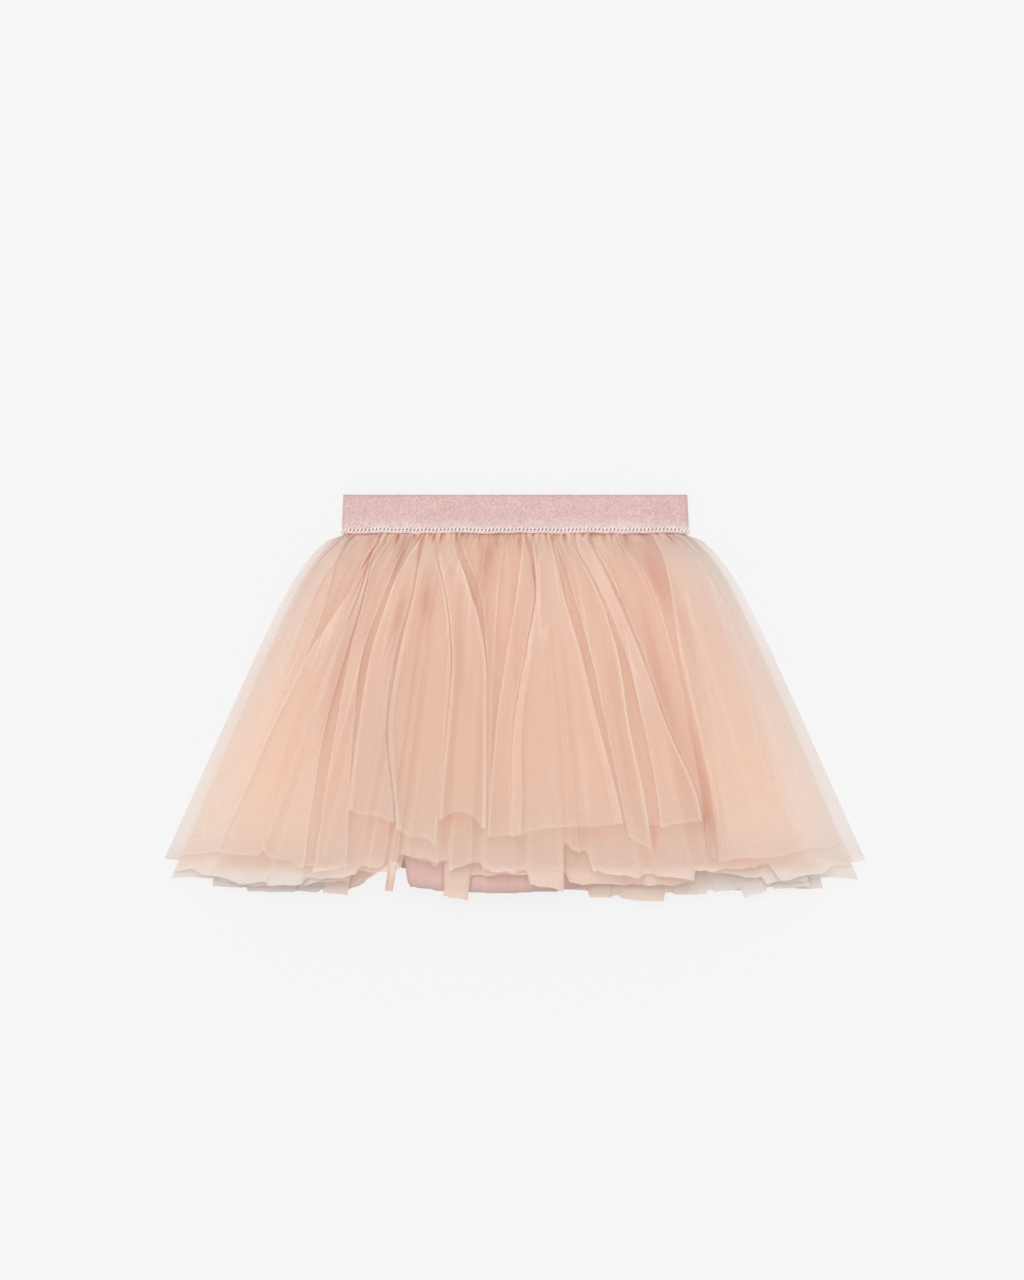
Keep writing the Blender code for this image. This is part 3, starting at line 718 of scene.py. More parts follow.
# ---- The cloth's points ----
# The cloth is stitched to the elastic's inner side a little above its edge
INSIDE_DROPS = (-6, -3.5, -1.5)
INSIDE_HALF_WIDTH = 111.5
INSIDE_FRONT_HEIGHT = 4.45
INSIDE_BACK_HEIGHT = 1.6
INSIDE_PITCH = 0.28
OPEN_FROM = -1  # from this drop the cloth opens to its full width
OPEN_LENGTH = 6
LOOSE_LENGTH = 3  # and its gathers rise
RELEASE_LENGTH = 0.8  # from the elastic's edge it takes its own height
SEAM_FAN = 0.5  # how fast the gathers fan out right below the seam, in mm per mm
SIDE_POWER = 8  # next to the side edges the cloth sweeps out faster
FLAT_SIDE_POWER = 4  # the folds flatten towards the side edges
SWAY = 0.35  # gathers lean sideways by this share of their height
ROW_CROWDING = 1.5
LEAST_CLEAR = 0.15  # no cloth lies lower than this, times its place in the stack


def cloth_height(panel, index, across, crest, drop):
    """The height of one lobe's cloth before gathers and creases."""
    below = np.maximum(drop, 0)
    rounded = 1 - across ** FLAT_SIDE_POWER
    height = panel_height(panel, across, below)
    height = height + panel.lobes[index].rise * settle(below, SPREAD_LENGTH) * crest * rounded
    inside = INSIDE_BACK_HEIGHT + INSIDE_PITCH * panel.layer.slot
    if panel.front:
        inside = INSIDE_FRONT_HEIGHT - INSIDE_PITCH * panel.layer.slot
    return inside + (height - inside) * ease(drop, 0, RELEASE_LENGTH), rounded


def spread_width(layer, across, drop):
    """The half width that the cloth is spread to: narrow inside the waistband, fanned out below."""
    below = np.maximum(drop, 0)
    at_side = half_width(layer, below) - INSIDE_HALF_WIDTH
    at_side = INSIDE_HALF_WIDTH + at_side * ease(drop, OPEN_FROM, OPEN_LENGTH)
    half = (half_width(layer, np.maximum(below, LOBE_DROPS[0]))
            - SEAM_FAN * np.maximum(LOBE_DROPS[0] - below, 0))
    return half + (at_side - half) * np.abs(across) ** SIDE_POWER


def lobe_cloth(panel, index):
    """One lobe's points, rows by columns by 3, how much thicker its folds make the net, and how deep
    and how pale it is, each from 0 to 1: its painted shade, and its painted highlight and haze."""
    phase = np.arange(panel.columns + (index + 1 == len(panel.lobes))) / panel.columns
    weights = section_weights(phase)
    seam_x = between_troughs(panel.lobes, index, phase, 0) * SEAM_HALF_WIDTH
    lowest = hem_line(panel, index, phase, weights, seam_x)
    shares = np.linspace(0, 1, panel.rows + 1)[:, None] ** ROW_CROWDING
    inside = np.repeat([[drop] for drop in INSIDE_DROPS], len(phase), axis=1)
    drop = np.concatenate([inside, shares * lowest])
    below = np.maximum(drop, 0)
    across, left, wide = section_places(panel, index, weights, below)
    crest = np.array(SECTION_HEIGHTS) @ weights

    height, rounded = cloth_height(panel, index, across, crest, drop)
    loose = ease(drop, OPEN_FROM, LOOSE_LENGTH)
    fine = gathered(FINE_GATHERS, panel, seam_x, below)
    medium = gathered(MEDIUM_GATHERS, panel, seam_x, below) * settle(below, MEDIUM_START)
    height = height + (panel.fine * fine + panel.medium * medium) * loose * rounded
    x = across * spread_width(panel.layer, across, drop) + SWAY * panel.fine * fine * loose
    ridge, extra, deep, pale = add_creases(panel, across, x, below)
    height = np.maximum(height + ridge * loose, LEAST_CLEAR * (1 + panel.layer.slot))

    rim = fold_rim(panel, index, crest, below, across, left, wide)
    curl = panel.curl * np.exp(-((lowest - drop) / HEM_CURL_WIDTH) ** 2)
    extra = extra + RIM_GAIN * rim + HEM_CURL * curl + SEAM_PACK * np.exp(-below / SEAM_PACK_LENGTH)
    # more painted shade between gathers, under the elastic, near the waist and in patches
    deep = deep + seam_painted_shade(panel, seam_x, fine, below) + patched(panel.deep_patches, x, below)
    thicker = 1 + extra + DEEP_GAIN * deep
    if panel.front:
        thicker = thicker * (1 - patched(BARE_PATCHES, x, below))
    # painted shade on the lowest hems and in the troughs; painted highlight and haze on ridges, rims, curls,
    # the hem and the sides
    low_deep, low_pale = low_hem_tones(panel, x, below)
    deep = deep + low_deep + panel.trough * fold_trough(panel, index, phase, crest, below)
    pale = (pale + patched(panel.pale_patches, x, below) + RIM_PALE * rim + CURL_PALE * curl
            + HEM_PALE * ease(below, HEM_PALE_DROP, HEM_PALE_LENGTH) + low_pale + side_haze(panel, x, below))
    points = np.stack([x, SEAM_Y - drop, height], axis=2)
    return points, thicker, np.clip(deep, 0, 1), np.clip(pale, 0, 1)


# ---- Meshes ----
FIBRE_LIFT = 2.6  # how far the nets' shading normals are turned up


def read(items, key, width=3, kind=float):
    """A value, or a row of them, for each of a mesh's items."""
    values = np.zeros(len(items) * width, kind)
    items.foreach_get(key, values)
    return values.reshape(-1, width) if width > 1 else values


def grid_sheet(name, points, flat, attributes):
    """A sheet from a primitive grid: points and flat positions are rows by columns, in mm."""
    rows, columns = points.shape[:2]
    bpy.ops.object.select_all(action="DESELECT")
    bpy.ops.mesh.primitive_grid_add(x_subdivisions=columns - 1, y_subdivisions=rows - 1, size=2)
    sheet = bpy.context.object
    sheet.name = name
    mesh = sheet.data
    mesh.name = name
    start = read(mesh.vertices, "co")
    column = np.rint((1 + start[:, 0]) / 2 * (columns - 1)).astype(int)
    row = np.rint((1 - start[:, 1]) / 2 * (rows - 1)).astype(int)
    mesh.vertices.foreach_set("co", (points[row, column] * MM).ravel())
    for key, values in attributes.items():
        layer = mesh.attributes.new(key, "FLOAT", "POINT")
        layer.data.foreach_set("value", values[row, column].astype(np.float32))
    uv = flat[row, column][read(mesh.loops, "vertex_index", 1, int)] * MM
    mesh.uv_layers[0].data.foreach_set("uv", uv.ravel().astype(np.float32))
    mesh.update()
    bpy.ops.object.shade_smooth()
    return sheet


def light_as_fibres(sheet):
    """Turns the shading normals towards straight up, or down on faces that look down, because round
    fibres glow on every side and not as a flat face would."""
    mesh = sheet.data
    up = np.sign(read(mesh.polygons, "normal")[:, 2] + 1e-6)
    normals = read(mesh.vertices, "normal")[read(mesh.loops, "vertex_index", 1, int)]
    normals[:, 2] += FIBRE_LIFT * np.repeat(up, read(mesh.polygons, "loop_total", 1, int))
    mesh.normals_split_custom_set(normals / np.linalg.norm(normals, axis=1, keepdims=True))


def add_wall(sheet, thickness, offset):
    """Gives the active sheet a thickness in mm, inwards or outwards."""
    wall = sheet.modifiers.new("wall", "SOLIDIFY")
    wall.thickness = thickness * MM
    wall.offset = offset
    bpy.ops.object.modifier_apply(modifier="wall")


def hand_over(piece, material, stands_for=None):
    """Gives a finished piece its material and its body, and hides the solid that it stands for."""
    piece.data.materials.append(material)
    if stands_for:
        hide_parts(stands_for)
    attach(piece, "root")


# ---- Materials ----
def linear(code):
    """An sRGB hex colour as linear RGBA."""
    parts = [int(code[i:i + 2], 16) / 255 for i in (1, 3, 5)]
    return tuple(p / 12.92 if p <= 0.04045 else ((p + 0.055) / 1.055) ** 2.4 for p in parts) + (1,)


def fill(tree, made, inputs):
    """Sets a node's inputs: each to a value or to another node's output."""
    for place, value in inputs.items():
        if isinstance(value, bpy.types.NodeSocket):
            tree.links.new(value, made.inputs[place])
        else:
            made.inputs[place].default_value = value


def node(tree, kind, inputs=None, **settings):
    """Adds a node with its settings and inputs."""
    made = tree.nodes.new("ShaderNode" + kind)
    for key, value in settings.items():
        setattr(made, key, value)
    fill(tree, made, inputs or {})
    return made.outputs


def new_material(name):
    material = bpy.data.materials.new(name)
    material.use_nodes = True
    return material, material.node_tree, material.node_tree.nodes["Principled BSDF"]


# Sockets of a Mix node that mixes colours
SHARE, FIRST, SECOND, MIXED = 0, 6, 7, 2

MESH_SIZE = 1.35  # soft tulle's holes are 1 mm apart, drawn coarser so that they show
MESH_DEPTH = 0.06
MESH_TURNS = (0, 60, 120)
# colours of the painted highlight and haze, and of the painted shade on the lowest hems
NET_PAINTED_HIGHLIGHT_AND_HAZE = "#E6DDD7"
NET_PAINTED_LOW_HEM_SHADE = "#DDD3CC"  # painted shade of the lowest hems
LOW_PALE_FROM = 0.203  # metres from the seam
LOW_PALE_TO = 0.228


def net_material(name, colour, painted_shade_colour):
    """Soft nylon net, warp knitted into six-sided holes: matt, see-through and denser where it folds,
    with painted shade, warmer deep in a fold, where light has passed through more of it, and painted
    highlight and haze, paler and greyer."""
    material, tree, shader = new_material(name)
    cover, deep, pale = (node(tree, "Attribute", attribute_name=key)["Fac"]
                         for key in ("net_cover", "net_painted_shade", "net_painted_light_and_shade"))
    flat = node(tree, "UVMap")[0]
    down = node(tree, "SeparateXYZ", {0: flat})["Y"]
    low = node(tree, "MapRange", {"Value": down, "From Min": LOW_PALE_FROM, "From Max": LOW_PALE_TO},
               interpolation_type="SMOOTHSTEP")[0]
    # the painted highlight and haze colour, turning to a painted shade on the lowest hems
    painted_light_and_shade_colour = node(tree, "Mix", {SHARE: low, FIRST: linear(NET_PAINTED_HIGHLIGHT_AND_HAZE), SECOND: linear(NET_PAINTED_LOW_HEM_SHADE)},
                 data_type="RGBA")[MIXED]
    dye = linear(colour)
    # painted highlight and haze first, then painted shade
    for share, other in ((pale, painted_light_and_shade_colour), (deep, linear(painted_shade_colour))):
        dye = node(tree, "Mix", {SHARE: share, FIRST: dye, SECOND: other}, data_type="RGBA")[MIXED]
    threads = 1
    turns = 2 * math.pi / (MESH_SIZE * MM)
    for angle in map(math.radians, MESH_TURNS):
        way = (math.cos(angle) * turns, math.sin(angle) * turns, 0)
        along = node(tree, "VectorMath", {0: flat, 1: way}, operation="DOT_PRODUCT")["Value"]
        wave = node(tree, "Math", {0: along}, operation="COSINE")[0]
        threads = node(tree, "Math", {0: wave, 1: -MESH_DEPTH, 2: threads}, operation="MULTIPLY_ADD")[0]
    alpha = node(tree, "Math", {0: cover, 1: threads}, operation="MULTIPLY", use_clamp=True)[0]
    fill(tree, shader, {"Base Color": dye, "Alpha": alpha, "Roughness": 0.75, "Specular IOR Level": 0.15,
                        "Sheen Weight": 0.25, "Sheen Roughness": 0.45})
    return material


WEAVE_LENGTH = 0.9  # the drawn weave's pitch over 2 pi; real lining threads are 0.25 mm apart
RADIANS_PER_SCALE = 20  # how far a Wave node turns its bands in a metre, at scale 1


def lining_material():
    """Woven viscose lining, dyed dusky mauve: smooth, with a faint thread and a soft sheen, and a
    painted rosier glow near the waist for the light that reaches it through the nets."""
    material, tree, shader = new_material("woven_viscose_lining_dusky_mauve")
    flat = node(tree, "UVMap")[0]
    down = node(tree, "SeparateXYZ", {0: flat})["Y"]
    scale = 1 / (WEAVE_LENGTH * MM) / RADIANS_PER_SCALE
    weave = node(tree, "TexWave", {"Vector": flat, "Scale": scale, "Distortion": 1.5, "Detail": 1})["Fac"]
    slub = node(tree, "TexNoise", {"Vector": flat, "Scale": 60, "Detail": 2})["Fac"]
    faint = node(tree, "Math", {0: weave, 1: 0.12}, operation="MULTIPLY")[0]
    uneven = node(tree, "Math", {0: slub, 1: 0.85, 2: faint}, operation="MULTIPLY_ADD")[0]
    # painted light: rosier near the waist
    painted_waist_glow = node(tree, "MapRange", {"Value": down, "From Min": 0.12, "From Max": 0.02},
                      interpolation_type="SMOOTHSTEP")[0]
    colour = linear("#CFA9A1")
    for share, other in ((uneven, "#DDBDB5"), (painted_waist_glow, "#E0A399")):
        colour = node(tree, "Mix", {SHARE: share, FIRST: colour, SECOND: linear(other)},
                      data_type="RGBA")[MIXED]
    bump = node(tree, "Bump", {"Height": weave, "Strength": 0.05, "Distance": 0.0001})[0]
    fill(tree, shader, {"Base Color": colour, "Normal": bump, "Roughness": 0.55, "Sheen Weight": 0.2})
    return material


RIB_PITCH = 1.35  # elastic's ribs are 0.7 mm apart, drawn coarser so that they show
PICK_PITCH = RIB_PITCH * 1.15
GLITTER_SIZE = 0.75  # lurex glints are 0.3 mm, drawn coarser so that they show


def elastic_material():
    """Woven elastic of polyester and shimmer yarn: fine upright ribs with small bright and dark glints,
    both bumped and with their light and shade also painted into its colour, and a paler painted sheen
    near its lower edge where it is stretched."""
    material, tree, shader = new_material("woven_shimmer_elastic_rose")
    flat = node(tree, "UVMap")[0]
    place = node(tree, "SeparateXYZ", {0: flat})
    waves = []
    for axis, pitch in (("X", RIB_PITCH), ("Y", PICK_PITCH)):
        turns = node(tree, "Math", {0: place[axis], 1: 2 * math.pi / (pitch * MM)}, operation="MULTIPLY")[0]
        waves.append(node(tree, "Math", {0: turns}, operation="COSINE")[0])
    rib = node(tree, "Math", dict(enumerate(waves)), operation="MULTIPLY")[0]
    grains = node(tree, "TexVoronoi",
                  {"Vector": flat, "Scale": 1 / (GLITTER_SIZE * MM), "Randomness": 0.8})["Color"]
    glints = node(tree, "SeparateColor", {0: grains})["Red"]
    patches = node(tree, "TexNoise", {"Vector": flat, "Scale": 45, "Detail": 3, "Roughness": 0.6})["Fac"]
    near_edge = node(tree, "MapRange", {"Value": place["Y"], "From Min": 0.0115, "From Max": 0.0025},
                     interpolation_type="SMOOTHSTEP")[0]
    top_line = node(tree, "MapRange", {"Value": place["Y"], "From Min": 0.0230, "From Max": 0.0252})[0]
    # a painted sheen near the lower edge, in blotches
    blotchy = node(tree, "Math", {0: patches, 1: 1.6, 2: -0.15}, operation="MULTIPLY_ADD")[0]
    painted_sheen = node(tree, "Math", {0: near_edge, 1: blotchy}, operation="MULTIPLY")[0]
    colour = linear("#DFB4AF")
    for share, other in ((patches, "#E3C4C2"), (painted_sheen, "#EFDAD5"), (top_line, "#DDA9A4")):
        colour = node(tree, "Mix", {SHARE: share, FIRST: colour, SECOND: linear(other)},
                      data_type="RGBA")[MIXED]
    # painted glints and painted rib shading, scaling the colour
    painted_glints = node(tree, "Math", {0: glints, 1: 0.27, 2: 0.71}, operation="MULTIPLY_ADD")[0]
    light = node(tree, "Math", {0: rib, 1: 0.08, 2: painted_glints}, operation="MULTIPLY_ADD")[0]
    shaded = node(tree, "VectorMath", {0: colour, "Scale": light}, operation="SCALE")[0]
    gloss = node(tree, "Math", {0: glints, 1: -0.25, 2: 0.62}, operation="MULTIPLY_ADD")[0]
    relief = node(tree, "Math", {0: rib, 1: 0.3, 2: glints}, operation="MULTIPLY_ADD")[0]
    bump = node(tree, "Bump", {"Height": relief, "Strength": 0.35, "Distance": 0.0002})[0]
    fill(tree, shader, {"Base Color": shaded, "Roughness": gloss, "Normal": bump, "Sheen Weight": 0.3})
    return material


def mottled_material(name, first, second, scale, detail, roughness, sheen):
    """A material for a small piece, whose colour varies between two from spot to spot."""
    material, tree, shader = new_material(name)
    spot = node(tree, "TexCoord")["Object"]
    noise = node(tree, "TexNoise", {"Vector": spot, "Scale": scale, "Detail": detail})["Fac"]
    colour = node(tree, "Mix", {SHARE: noise, FIRST: linear(first), SECOND: linear(second)},
                  data_type="RGBA")[MIXED]
    fill(tree, shader, {"Base Color": colour, "Roughness": roughness, "Sheen Weight": sheen})
    return material


# ---- Panels of net and lining ----
# How a panel is cut and gathered. cut is its width before it is gathered, cover how much of the light
# one thickness stops near the waist and at the hem, fine and medium the heights of its gathers at the
# seam, crisp how far its folds keep their form, trough how much painted shade lies between them,
# most_path the most thicknesses that a look straight down passes and curl its share of the hem's curl.
# Its deep_patches and pale_patches are patches of painted shade and painted light.
Panel = namedtuple("Panel", "layer front lobes columns rows cut cover hem_cover fine medium seed streaks "
                            "crisp hem_crisp trough most_path curl creases deep_patches pale_patches",
                   defaults=(0.3, (), (), ()))

LEAST_LEVEL = 0.55  # cloth on edge looks at most this much thicker
MOST_PACKED = 2.2
LEAST_PATH = 0.6
HEM_ROWS = 6  # the net is even in these rows
FRONT_COVER_DROPS = (110, 90)  # the cover changes to the hem's from here, over the next length
BACK_COVER_DROPS = (190, 30)
LOW_HEM_COVER = 0.94
LOW_COVER_LENGTH = 9
SIDE_GAIN = 0.5  # near its two sides the net is seen nearly edge on
SIDE_THINNING = 0.35  # but near the waist it is thinner there
SIDE_THIN_REACH = 9
SIDE_DROPS = (50, 60)  # the second gives way to the first from here, over the next length
LINING_THICKNESS = 0.3


def upness(points):
    """How level the cloth lies at each point: 1 flat, 0 on edge."""
    normals = np.cross(np.gradient(points, axis=0), np.gradient(points, axis=1))
    return np.abs(normals[:, :, 2]) / np.maximum(np.linalg.norm(normals, axis=2), 1e-9)


def net_cover(panel, points, arcs, share, thicker):
    """What share of the light the panel's net stops at each point, seen from straight above."""
    packed = np.diff(share) * panel.cut / np.maximum(arcs, 1e-6)
    packed = np.concatenate([packed[:, :1], (packed[:, 1:] + packed[:, :-1]) / 2, packed[:, -1:]], axis=1)
    path = np.minimum(packed, MOST_PACKED) / np.maximum(upness(points), LEAST_LEVEL)
    path = np.clip(path, LEAST_PATH, panel.most_path) * thicker
    x = points[:, :, 0]
    drop = SEAM_Y - points[:, :, 1]
    lower = ease(drop, *SIDE_DROPS)
    path = path * (1 + SIDE_GAIN * lower * np.exp(-side_distance(x, drop) / SIDE_REACH)
                   - SIDE_THINNING * (1 - lower) * np.exp(-side_distance(x, drop) / SIDE_THIN_REACH))
    towards_hem = ease(drop, *(FRONT_COVER_DROPS if panel.front else BACK_COVER_DROPS))
    cover = panel.cover + (panel.hem_cover - panel.cover) * towards_hem
    cover = cover + (LOW_HEM_COVER - cover) * ease(drop, LOW_HEM_DROP, LOW_COVER_LENGTH)
    return 1 - (1 - cover) ** path


def make_panel(panel, material):
    side = "front" if panel.front else "back"
    name = panel.layer.piece + side
    solid = panel.layer.node + side
    lobes = [lobe_cloth(panel, index) for index in range(len(panel.lobes))]
    points, thicker, deep, pale = (np.concatenate(parts, axis=1) for parts in zip(*lobes))
    arcs = np.linalg.norm(np.diff(points, axis=1), axis=2)
    hem = arcs[-HEM_ROWS:].mean(axis=0)
    share = np.concatenate([[0], np.cumsum(hem)]) / hem.sum()
    drop = SEAM_Y - points[:, :, 1]
    flat = np.stack([np.broadcast_to(share * panel.cut, drop.shape), drop], axis=2)
    if panel.layer is LINING:
        sheet = grid_sheet(name, points, flat, {})
        add_wall(sheet, LINING_THICKNESS, 1)
        hand_over(sheet, material, solid)
    else:
        cover = net_cover(panel, points, arcs, share, thicker)
        sheet = grid_sheet(name, points, flat, {"net_cover": cover, "net_painted_shade": deep, "net_painted_light_and_shade": pale})
        light_as_fibres(sheet)
        hand_over(sheet, material, solid)


def make_panels():
    # The inner nets' deeper peach and the back nets' darker, greyer peach are painted shade for light that
    # has passed through more net; each net's second colour is its painted shade
    outer_net = net_material("soft_nylon_net_pale_peach", "#FADFCD", "#CA8670")
    middle_net = net_material("soft_nylon_net_peach", "#FADCC6", "#D08E74")
    inner_net = net_material("soft_nylon_net_peach_painted_deeper_shade", "#F9D5BA", "#D08E74")
    back_net = net_material("soft_nylon_net_peach_painted_shade", "#EACDBA", "#D2A084")
    slip = lining_material()
    middle_back = irregular_folds(9, 2.3, 234.5, 227, 12)
    outer_back = irregular_folds(12, 2.3, 234, 216, 13)
    for material, panel in (
        (outer_net, Panel(OUTER, True, OUTER_FRONT_LOBES, 40, 90, 700, 0.17, 0.2, 1, 0.5, 1, 80, 1, 1, 0.05,
                          2.6, 1, OUTER_FRONT_CREASES, OUTER_PAINTED_SHADE_PATCHES, OUTER_PAINTED_LIGHT_PATCHES)),
        (middle_net, Panel(MIDDLE, True, lobes_from(MIDDLE_FRONT_FOLDS), 30, 64, 560, 0.36, 0.43, 0.8, 0.4,
                           2, 40, 0.12, 0.32, 0.03, 1.7, deep_patches=MIDDLE_PAINTED_SHADE_PATCHES)),
        (inner_net, Panel(INNER, True, lobes_from(INNER_FRONT_FOLDS), 30, 64, 440, 0.42, 0.48, 0.5, 0.3,
                          3, 14, 0.12, 0.34, 0.02, 1.7)),
        (back_net, Panel(INNER, False, lobes_from(INNER_BACK_FOLDS), 24, 56, 420, 0.34, 0.78, 0.3, 0.1,
                         4, 6, 0.3, 0.5, 0, 1.5)),
        (back_net, Panel(MIDDLE, False, lobes_from(middle_back), 30, 56, 470, 0.38, 0.7, 0.3, 0.1,
                         5, 6, 0.15, 0.4, 0, 1.5)),
        (back_net, Panel(OUTER, False, lobes_from(outer_back), 30, 56, 480, 0.4, 0.7, 0.4, 0.2,
                         6, 60, 0.3, 0.4, 0.04, 1.5)),
        (slip, Panel(LINING, True, lobes_from(LINING_FRONT_FOLDS), 16, 44, 270, 1, 1, 0.15, 0,
                     7, 8, 0, 0, 0, 2)),
        (slip, Panel(LINING, False, lobes_from(LINING_BACK_FOLDS), 16, 44, 270, 1, 1, 0.15, 0,
                     8, 6, 0, 0, 0, 2)),
    ):
        make_panel(panel, material)


# ---- Waistband and its stitches ----
BAND_COLUMNS = 480
BAND_ROWS = 20
PUCKER_HEIGHT = 0.22
PUCKERS = (Wave(1, 2.3, 1), Wave(0.7, 5.1, 0, 2))
PUCKER_SHIFTS = (Wave(1.2, 17),)
EDGE_WAVE = 0.22
EDGE_WAVES = (Wave(1, 3.1, 1), Wave(1, 7.3, 0, 1))
EDGE_SHIFTS = (Wave(2, 11),)
PULL_LENGTH = 4.5  # the stitches pull the elastic this far up
SWELLS = (Wave(0.12, 31, 1),)
SWELL_RISE = 9
LEFT_SHARE = 0.991  # its left end lies this much nearer the middle
WELD = 1e-5  # metres, to close the ring
SHARP_EDGE = 60  # degrees


def band_point(turn, half):
    """A point of the flattened ring's outline: turn runs from 0 to 1 round it."""
    radius = BAND_THICKNESS / 2
    straight = 2 * (half - radius)
    run = straight + math.pi * radius
    side, reach = divmod(turn * 2 * run, run)
    x, z = straight / 2 - reach, 0
    if reach >= straight:
        angle = (reach - straight) / radius
        x, z = -straight / 2 - radius * math.sin(angle), radius - radius * math.cos(angle)
    return (-x, BAND_THICKNESS - z) if side == 1 else (x, z)


def band_surface(turn, rise):
    """The elastic's outer face at a turn round it and a rise above its lower edge, in mm."""
    half = BAND_LOW_HALF_WIDTH + (BAND_TOP_HALF_WIDTH - BAND_LOW_HALF_WIDTH) * rise / BAND_HEIGHT
    x, z = band_point(turn, half)
    pull = math.exp(-rise / PULL_LENGTH)
    pucker = ripple(PUCKERS, x, ripple(PUCKER_SHIFTS, x))
    lift = abs(PUCKER_HEIGHT * pull * pucker + ripple(SWELLS, x, rise / SWELL_RISE))
    z = z - lift if z > BAND_THICKNESS / 2 else z + lift
    x = x * LEFT_SHARE if x < 0 else x
    wave = ripple(EDGE_WAVES, x, ripple(EDGE_SHIFTS, x))
    return x, SEAM_Y + rise + EDGE_WAVE * wave * pull, z


def make_waistband():
    points = np.zeros((BAND_ROWS + 1, BAND_COLUMNS + 1, 3))
    flat = np.zeros((BAND_ROWS + 1, BAND_COLUMNS + 1, 2))
    length = 4 * BAND_LOW_HALF_WIDTH
    for row, column in np.ndindex(points.shape[:2]):
        rise = BAND_HEIGHT * (1 - row / BAND_ROWS)
        turn = 1 - column / BAND_COLUMNS
        points[row, column] = band_surface(turn, rise)
        flat[row, column] = (turn * length, rise)
    sheet = grid_sheet("elastic_waistband", points, flat, {})
    bpy.ops.object.mode_set(mode="EDIT")
    bpy.ops.mesh.select_all(action="SELECT")
    bpy.ops.mesh.remove_doubles(threshold=WELD)
    bpy.ops.mesh.normals_make_consistent(inside=False)
    bpy.ops.object.mode_set(mode="OBJECT")
    add_wall(sheet, BAND_WALL, -1)
    bpy.ops.object.shade_smooth_by_angle(angle=math.radians(SHARP_EDGE))
    hand_over(sheet, elastic_material(), "waistband")


STITCH_PITCH = 2.5  # stitches are 2 mm apart, drawn coarser so that they show
STITCH_COUNT = round(2 * (2 * BAND_LOW_HALF_WIDTH - BAND_THICKNESS + math.pi * BAND_THICKNESS / 2)
                     / STITCH_PITCH)
THREAD_RADIUS = 0.32
# Over one stitch: how far along, how high above the elastic's lower edge and how far off its face.
# The thread slants up over the face and goes back behind it.
THREAD_STOPS = ((0, 0.5, -0.1), (0.08, 0.9, 0.3), (0.3, 2.1, 0.36),
                (0.52, 3.3, 0.3), (0.6, 3.6, -0.1), (0.8, 2.1, -0.6))
# Small dark discs of painted shadow on the elastic, in the gaps between the stitches
STITCH_SHADOW_HALF_WIDTH = 0.34
STITCH_SHADOW_HALF_HEIGHT = 0.65
STITCH_SHADOW_RISE = 2.5
STITCH_SHADOW_LIFT = 0.14
STITCH_SHADOW_PLACE = 0.77  # of the way from one stitch to the next
STITCH_SHADOW_CORNERS = 8


def make_stitches():
    """The slanted stitches that sew the nets to the elastic, one thread all the way round."""
    bpy.ops.object.select_all(action="DESELECT")
    curve = bpy.data.curves.new("slanted_stitching", "CURVE")
    curve.dimensions = "3D"
    curve.bevel_depth = THREAD_RADIUS * MM
    curve.bevel_resolution = 1
    line = curve.splines.new("POLY")
    line.use_cyclic_u = True
    line.points.add(STITCH_COUNT * len(THREAD_STOPS) - 1)
    stops = [(stitch + part, rise, lift) for stitch in range(STITCH_COUNT)
             for part, rise, lift in THREAD_STOPS]
    for point, (turn, rise, lift) in zip(line.points, stops):
        x, y, z = band_surface(turn / STITCH_COUNT, rise)
        z += lift if z > BAND_THICKNESS / 2 else -lift
        point.co = (x * MM, y * MM, max(z, THREAD_RADIUS) * MM, 1)
    thread = bpy.data.objects.new("slanted_stitching", curve)
    bpy.context.scene.collection.objects.link(thread)
    bpy.context.view_layer.objects.active = thread
    thread.select_set(True)
    bpy.ops.object.convert(target="MESH")
    bpy.ops.object.shade_smooth()
    # Spun polyester sewing thread in pale rose, slightly shiny where it lies over the elastic
    spun = mottled_material("spun_polyester_thread_pale_rose", "#FBEAE4", "#FFFFFF", 1500, 1, 0.5, 0.2)
    hand_over(bpy.context.object, spun)


def make_painted_stitch_shadows():
    """Small dark discs of painted shadow, for the dents that the stitches pull into the elastic between
    them.
    """
    bpy.ops.object.select_all(action="DESELECT")
    bpy.ops.mesh.primitive_circle_add(vertices=STITCH_SHADOW_CORNERS, radius=STITCH_SHADOW_HALF_WIDTH * MM, fill_type="NGON")
    pattern = bpy.context.object
    pattern.scale = (1, STITCH_SHADOW_HALF_HEIGHT / STITCH_SHADOW_HALF_WIDTH, 1)
    for index in range(STITCH_COUNT):
        x, y, z = band_surface((index + STITCH_SHADOW_PLACE) / STITCH_COUNT, STITCH_SHADOW_RISE)
        if abs(x) > BAND_LOW_HALF_WIDTH - BAND_THICKNESS:
            continue
        hole = pattern.copy()
        hole.data = pattern.data.copy()
        front = z > BAND_THICKNESS / 2
        hole.location = (x * MM, y * MM, (z + STITCH_SHADOW_LIFT if front else z / 2) * MM)
        hole.rotation_euler = (0 if front else math.pi, 0, 0)
        bpy.context.scene.collection.objects.link(hole)
        hole.select_set(True)
        bpy.context.view_layer.objects.active = hole
    pattern.select_set(False)
    bpy.ops.object.join()
    holes = bpy.context.object
    holes.name = "painted_stitch_shadows"
    bpy.ops.object.transform_apply(location=True, rotation=True, scale=True)
    bpy.data.objects.remove(pattern)
    # Painted shadow in the dent between two stitches, in dark mottled rose
    shaded = mottled_material("painted_shadow_between_stitches", "#7C4E4A", "#966460", 2500, 2, 0.9, 0)
    hand_over(holes, shaded)


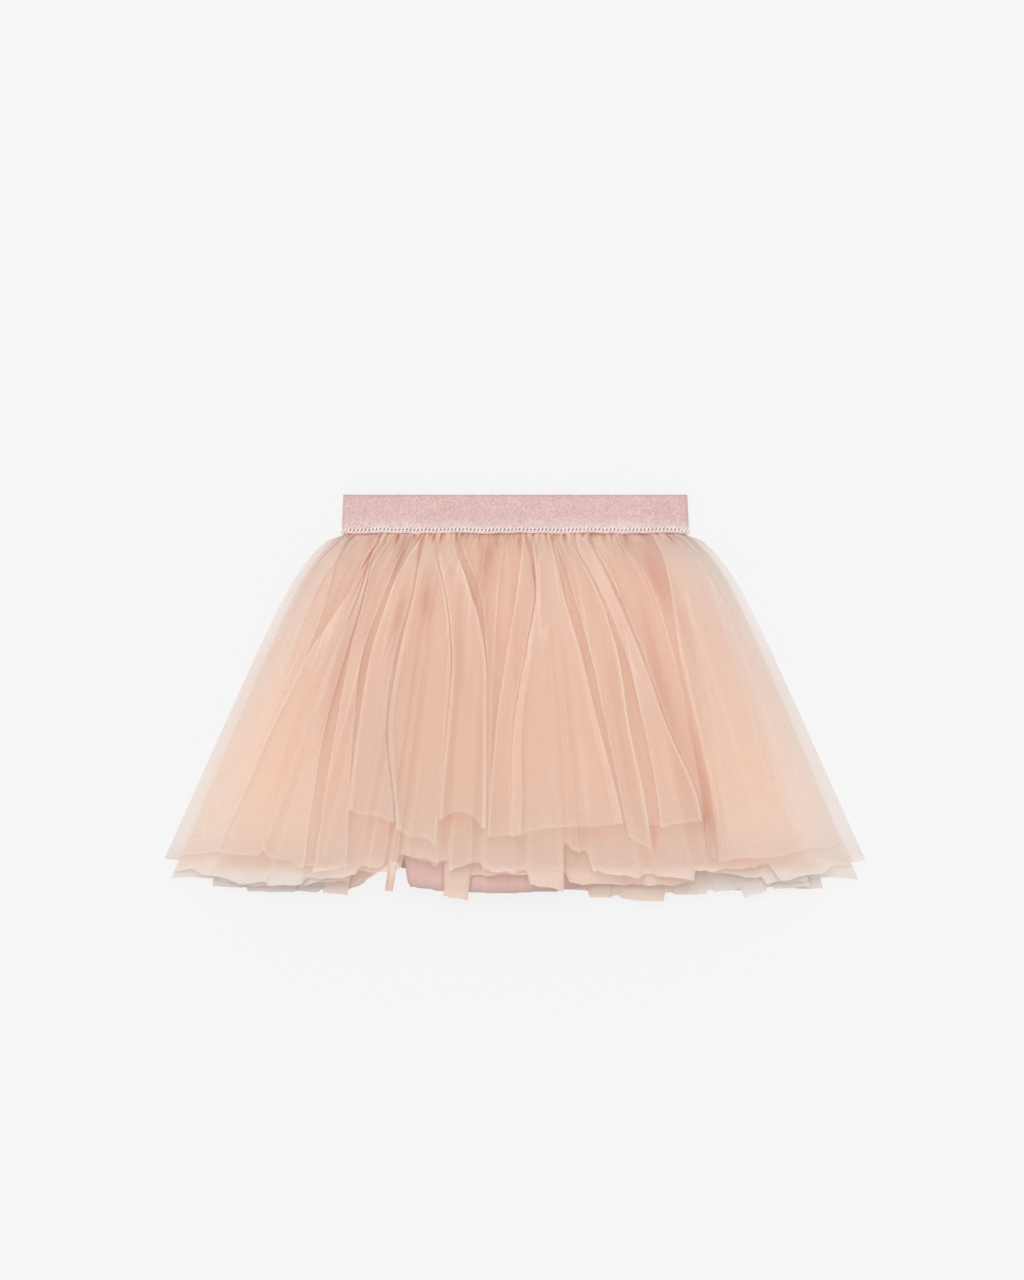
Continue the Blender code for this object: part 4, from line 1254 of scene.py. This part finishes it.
# ---- Floor, light and camera ----
VIEW_X = -1.65
VIEW_Y = 37.95
VIEW_HEIGHT = 844.8  # what the frame's long side takes in, at the floor
LENS = 100
SENSOR = 36
WHITE = (1, 1, 1, 1)
SKY = 0.72  # light from all round, as from a white studio
SUN = 1.36  # and from one very large softbox overhead, to the left and behind
SUN_SIZE = 50  # degrees, as are the next two
SUN_TILT = (-16, -8)
FLOOR_SIZE = 6  # metres, as is the next
FLOOR_GAP = 0.0003
FLOOR_GREY = (0.12, 0.12, 0.12, 1)
FLOOR_GLOW = 0.787  # lit from below too, so that hardly a shadow shows


def set_floor():
    bpy.ops.mesh.primitive_plane_add(size=FLOOR_SIZE, location=(0, 0, -FLOOR_GAP))
    floor = bpy.context.object
    floor.name = "studio_floor"
    material, tree, shader = new_material("matt_white_studio_paper_lit_from_below")
    fill(tree, shader, {"Base Color": FLOOR_GREY, "Emission Color": WHITE, "Emission Strength": FLOOR_GLOW,
                        "Roughness": 1, "Specular IOR Level": 0})
    floor.data.materials.append(material)


def set_light_and_camera():
    scene = bpy.context.scene
    scene.world = bpy.data.worlds.new("studio")
    scene.world.use_nodes = True
    sky = scene.world.node_tree.nodes["Background"]
    fill(scene.world.node_tree, sky, {"Color": WHITE, "Strength": SKY})

    light = bpy.data.lights.new("softbox", "SUN")
    light.angle = math.radians(SUN_SIZE)
    light.energy = SUN
    lamp = bpy.data.objects.new("softbox", light)
    lamp.rotation_euler = (math.radians(SUN_TILT[0]), math.radians(SUN_TILT[1]), 0)
    scene.collection.objects.link(lamp)

    camera = bpy.data.cameras.new("camera")
    camera.lens = LENS
    camera.sensor_width = SENSOR
    eye = bpy.data.objects.new("camera", camera)
    eye.location = (VIEW_X * MM, VIEW_Y * MM, VIEW_HEIGHT * MM * LENS / SENSOR)
    scene.collection.objects.link(eye)
    scene.camera = eye
    scene.view_settings.view_transform = "Standard"
    scene.cycles.transparent_max_bounces = 64
    scene.cycles.max_bounces = 20
    scene.cycles.diffuse_bounces = 16


set_floor()
set_light_and_camera()
make_waistband()
make_stitches()
make_painted_stitch_shadows()
make_panels()
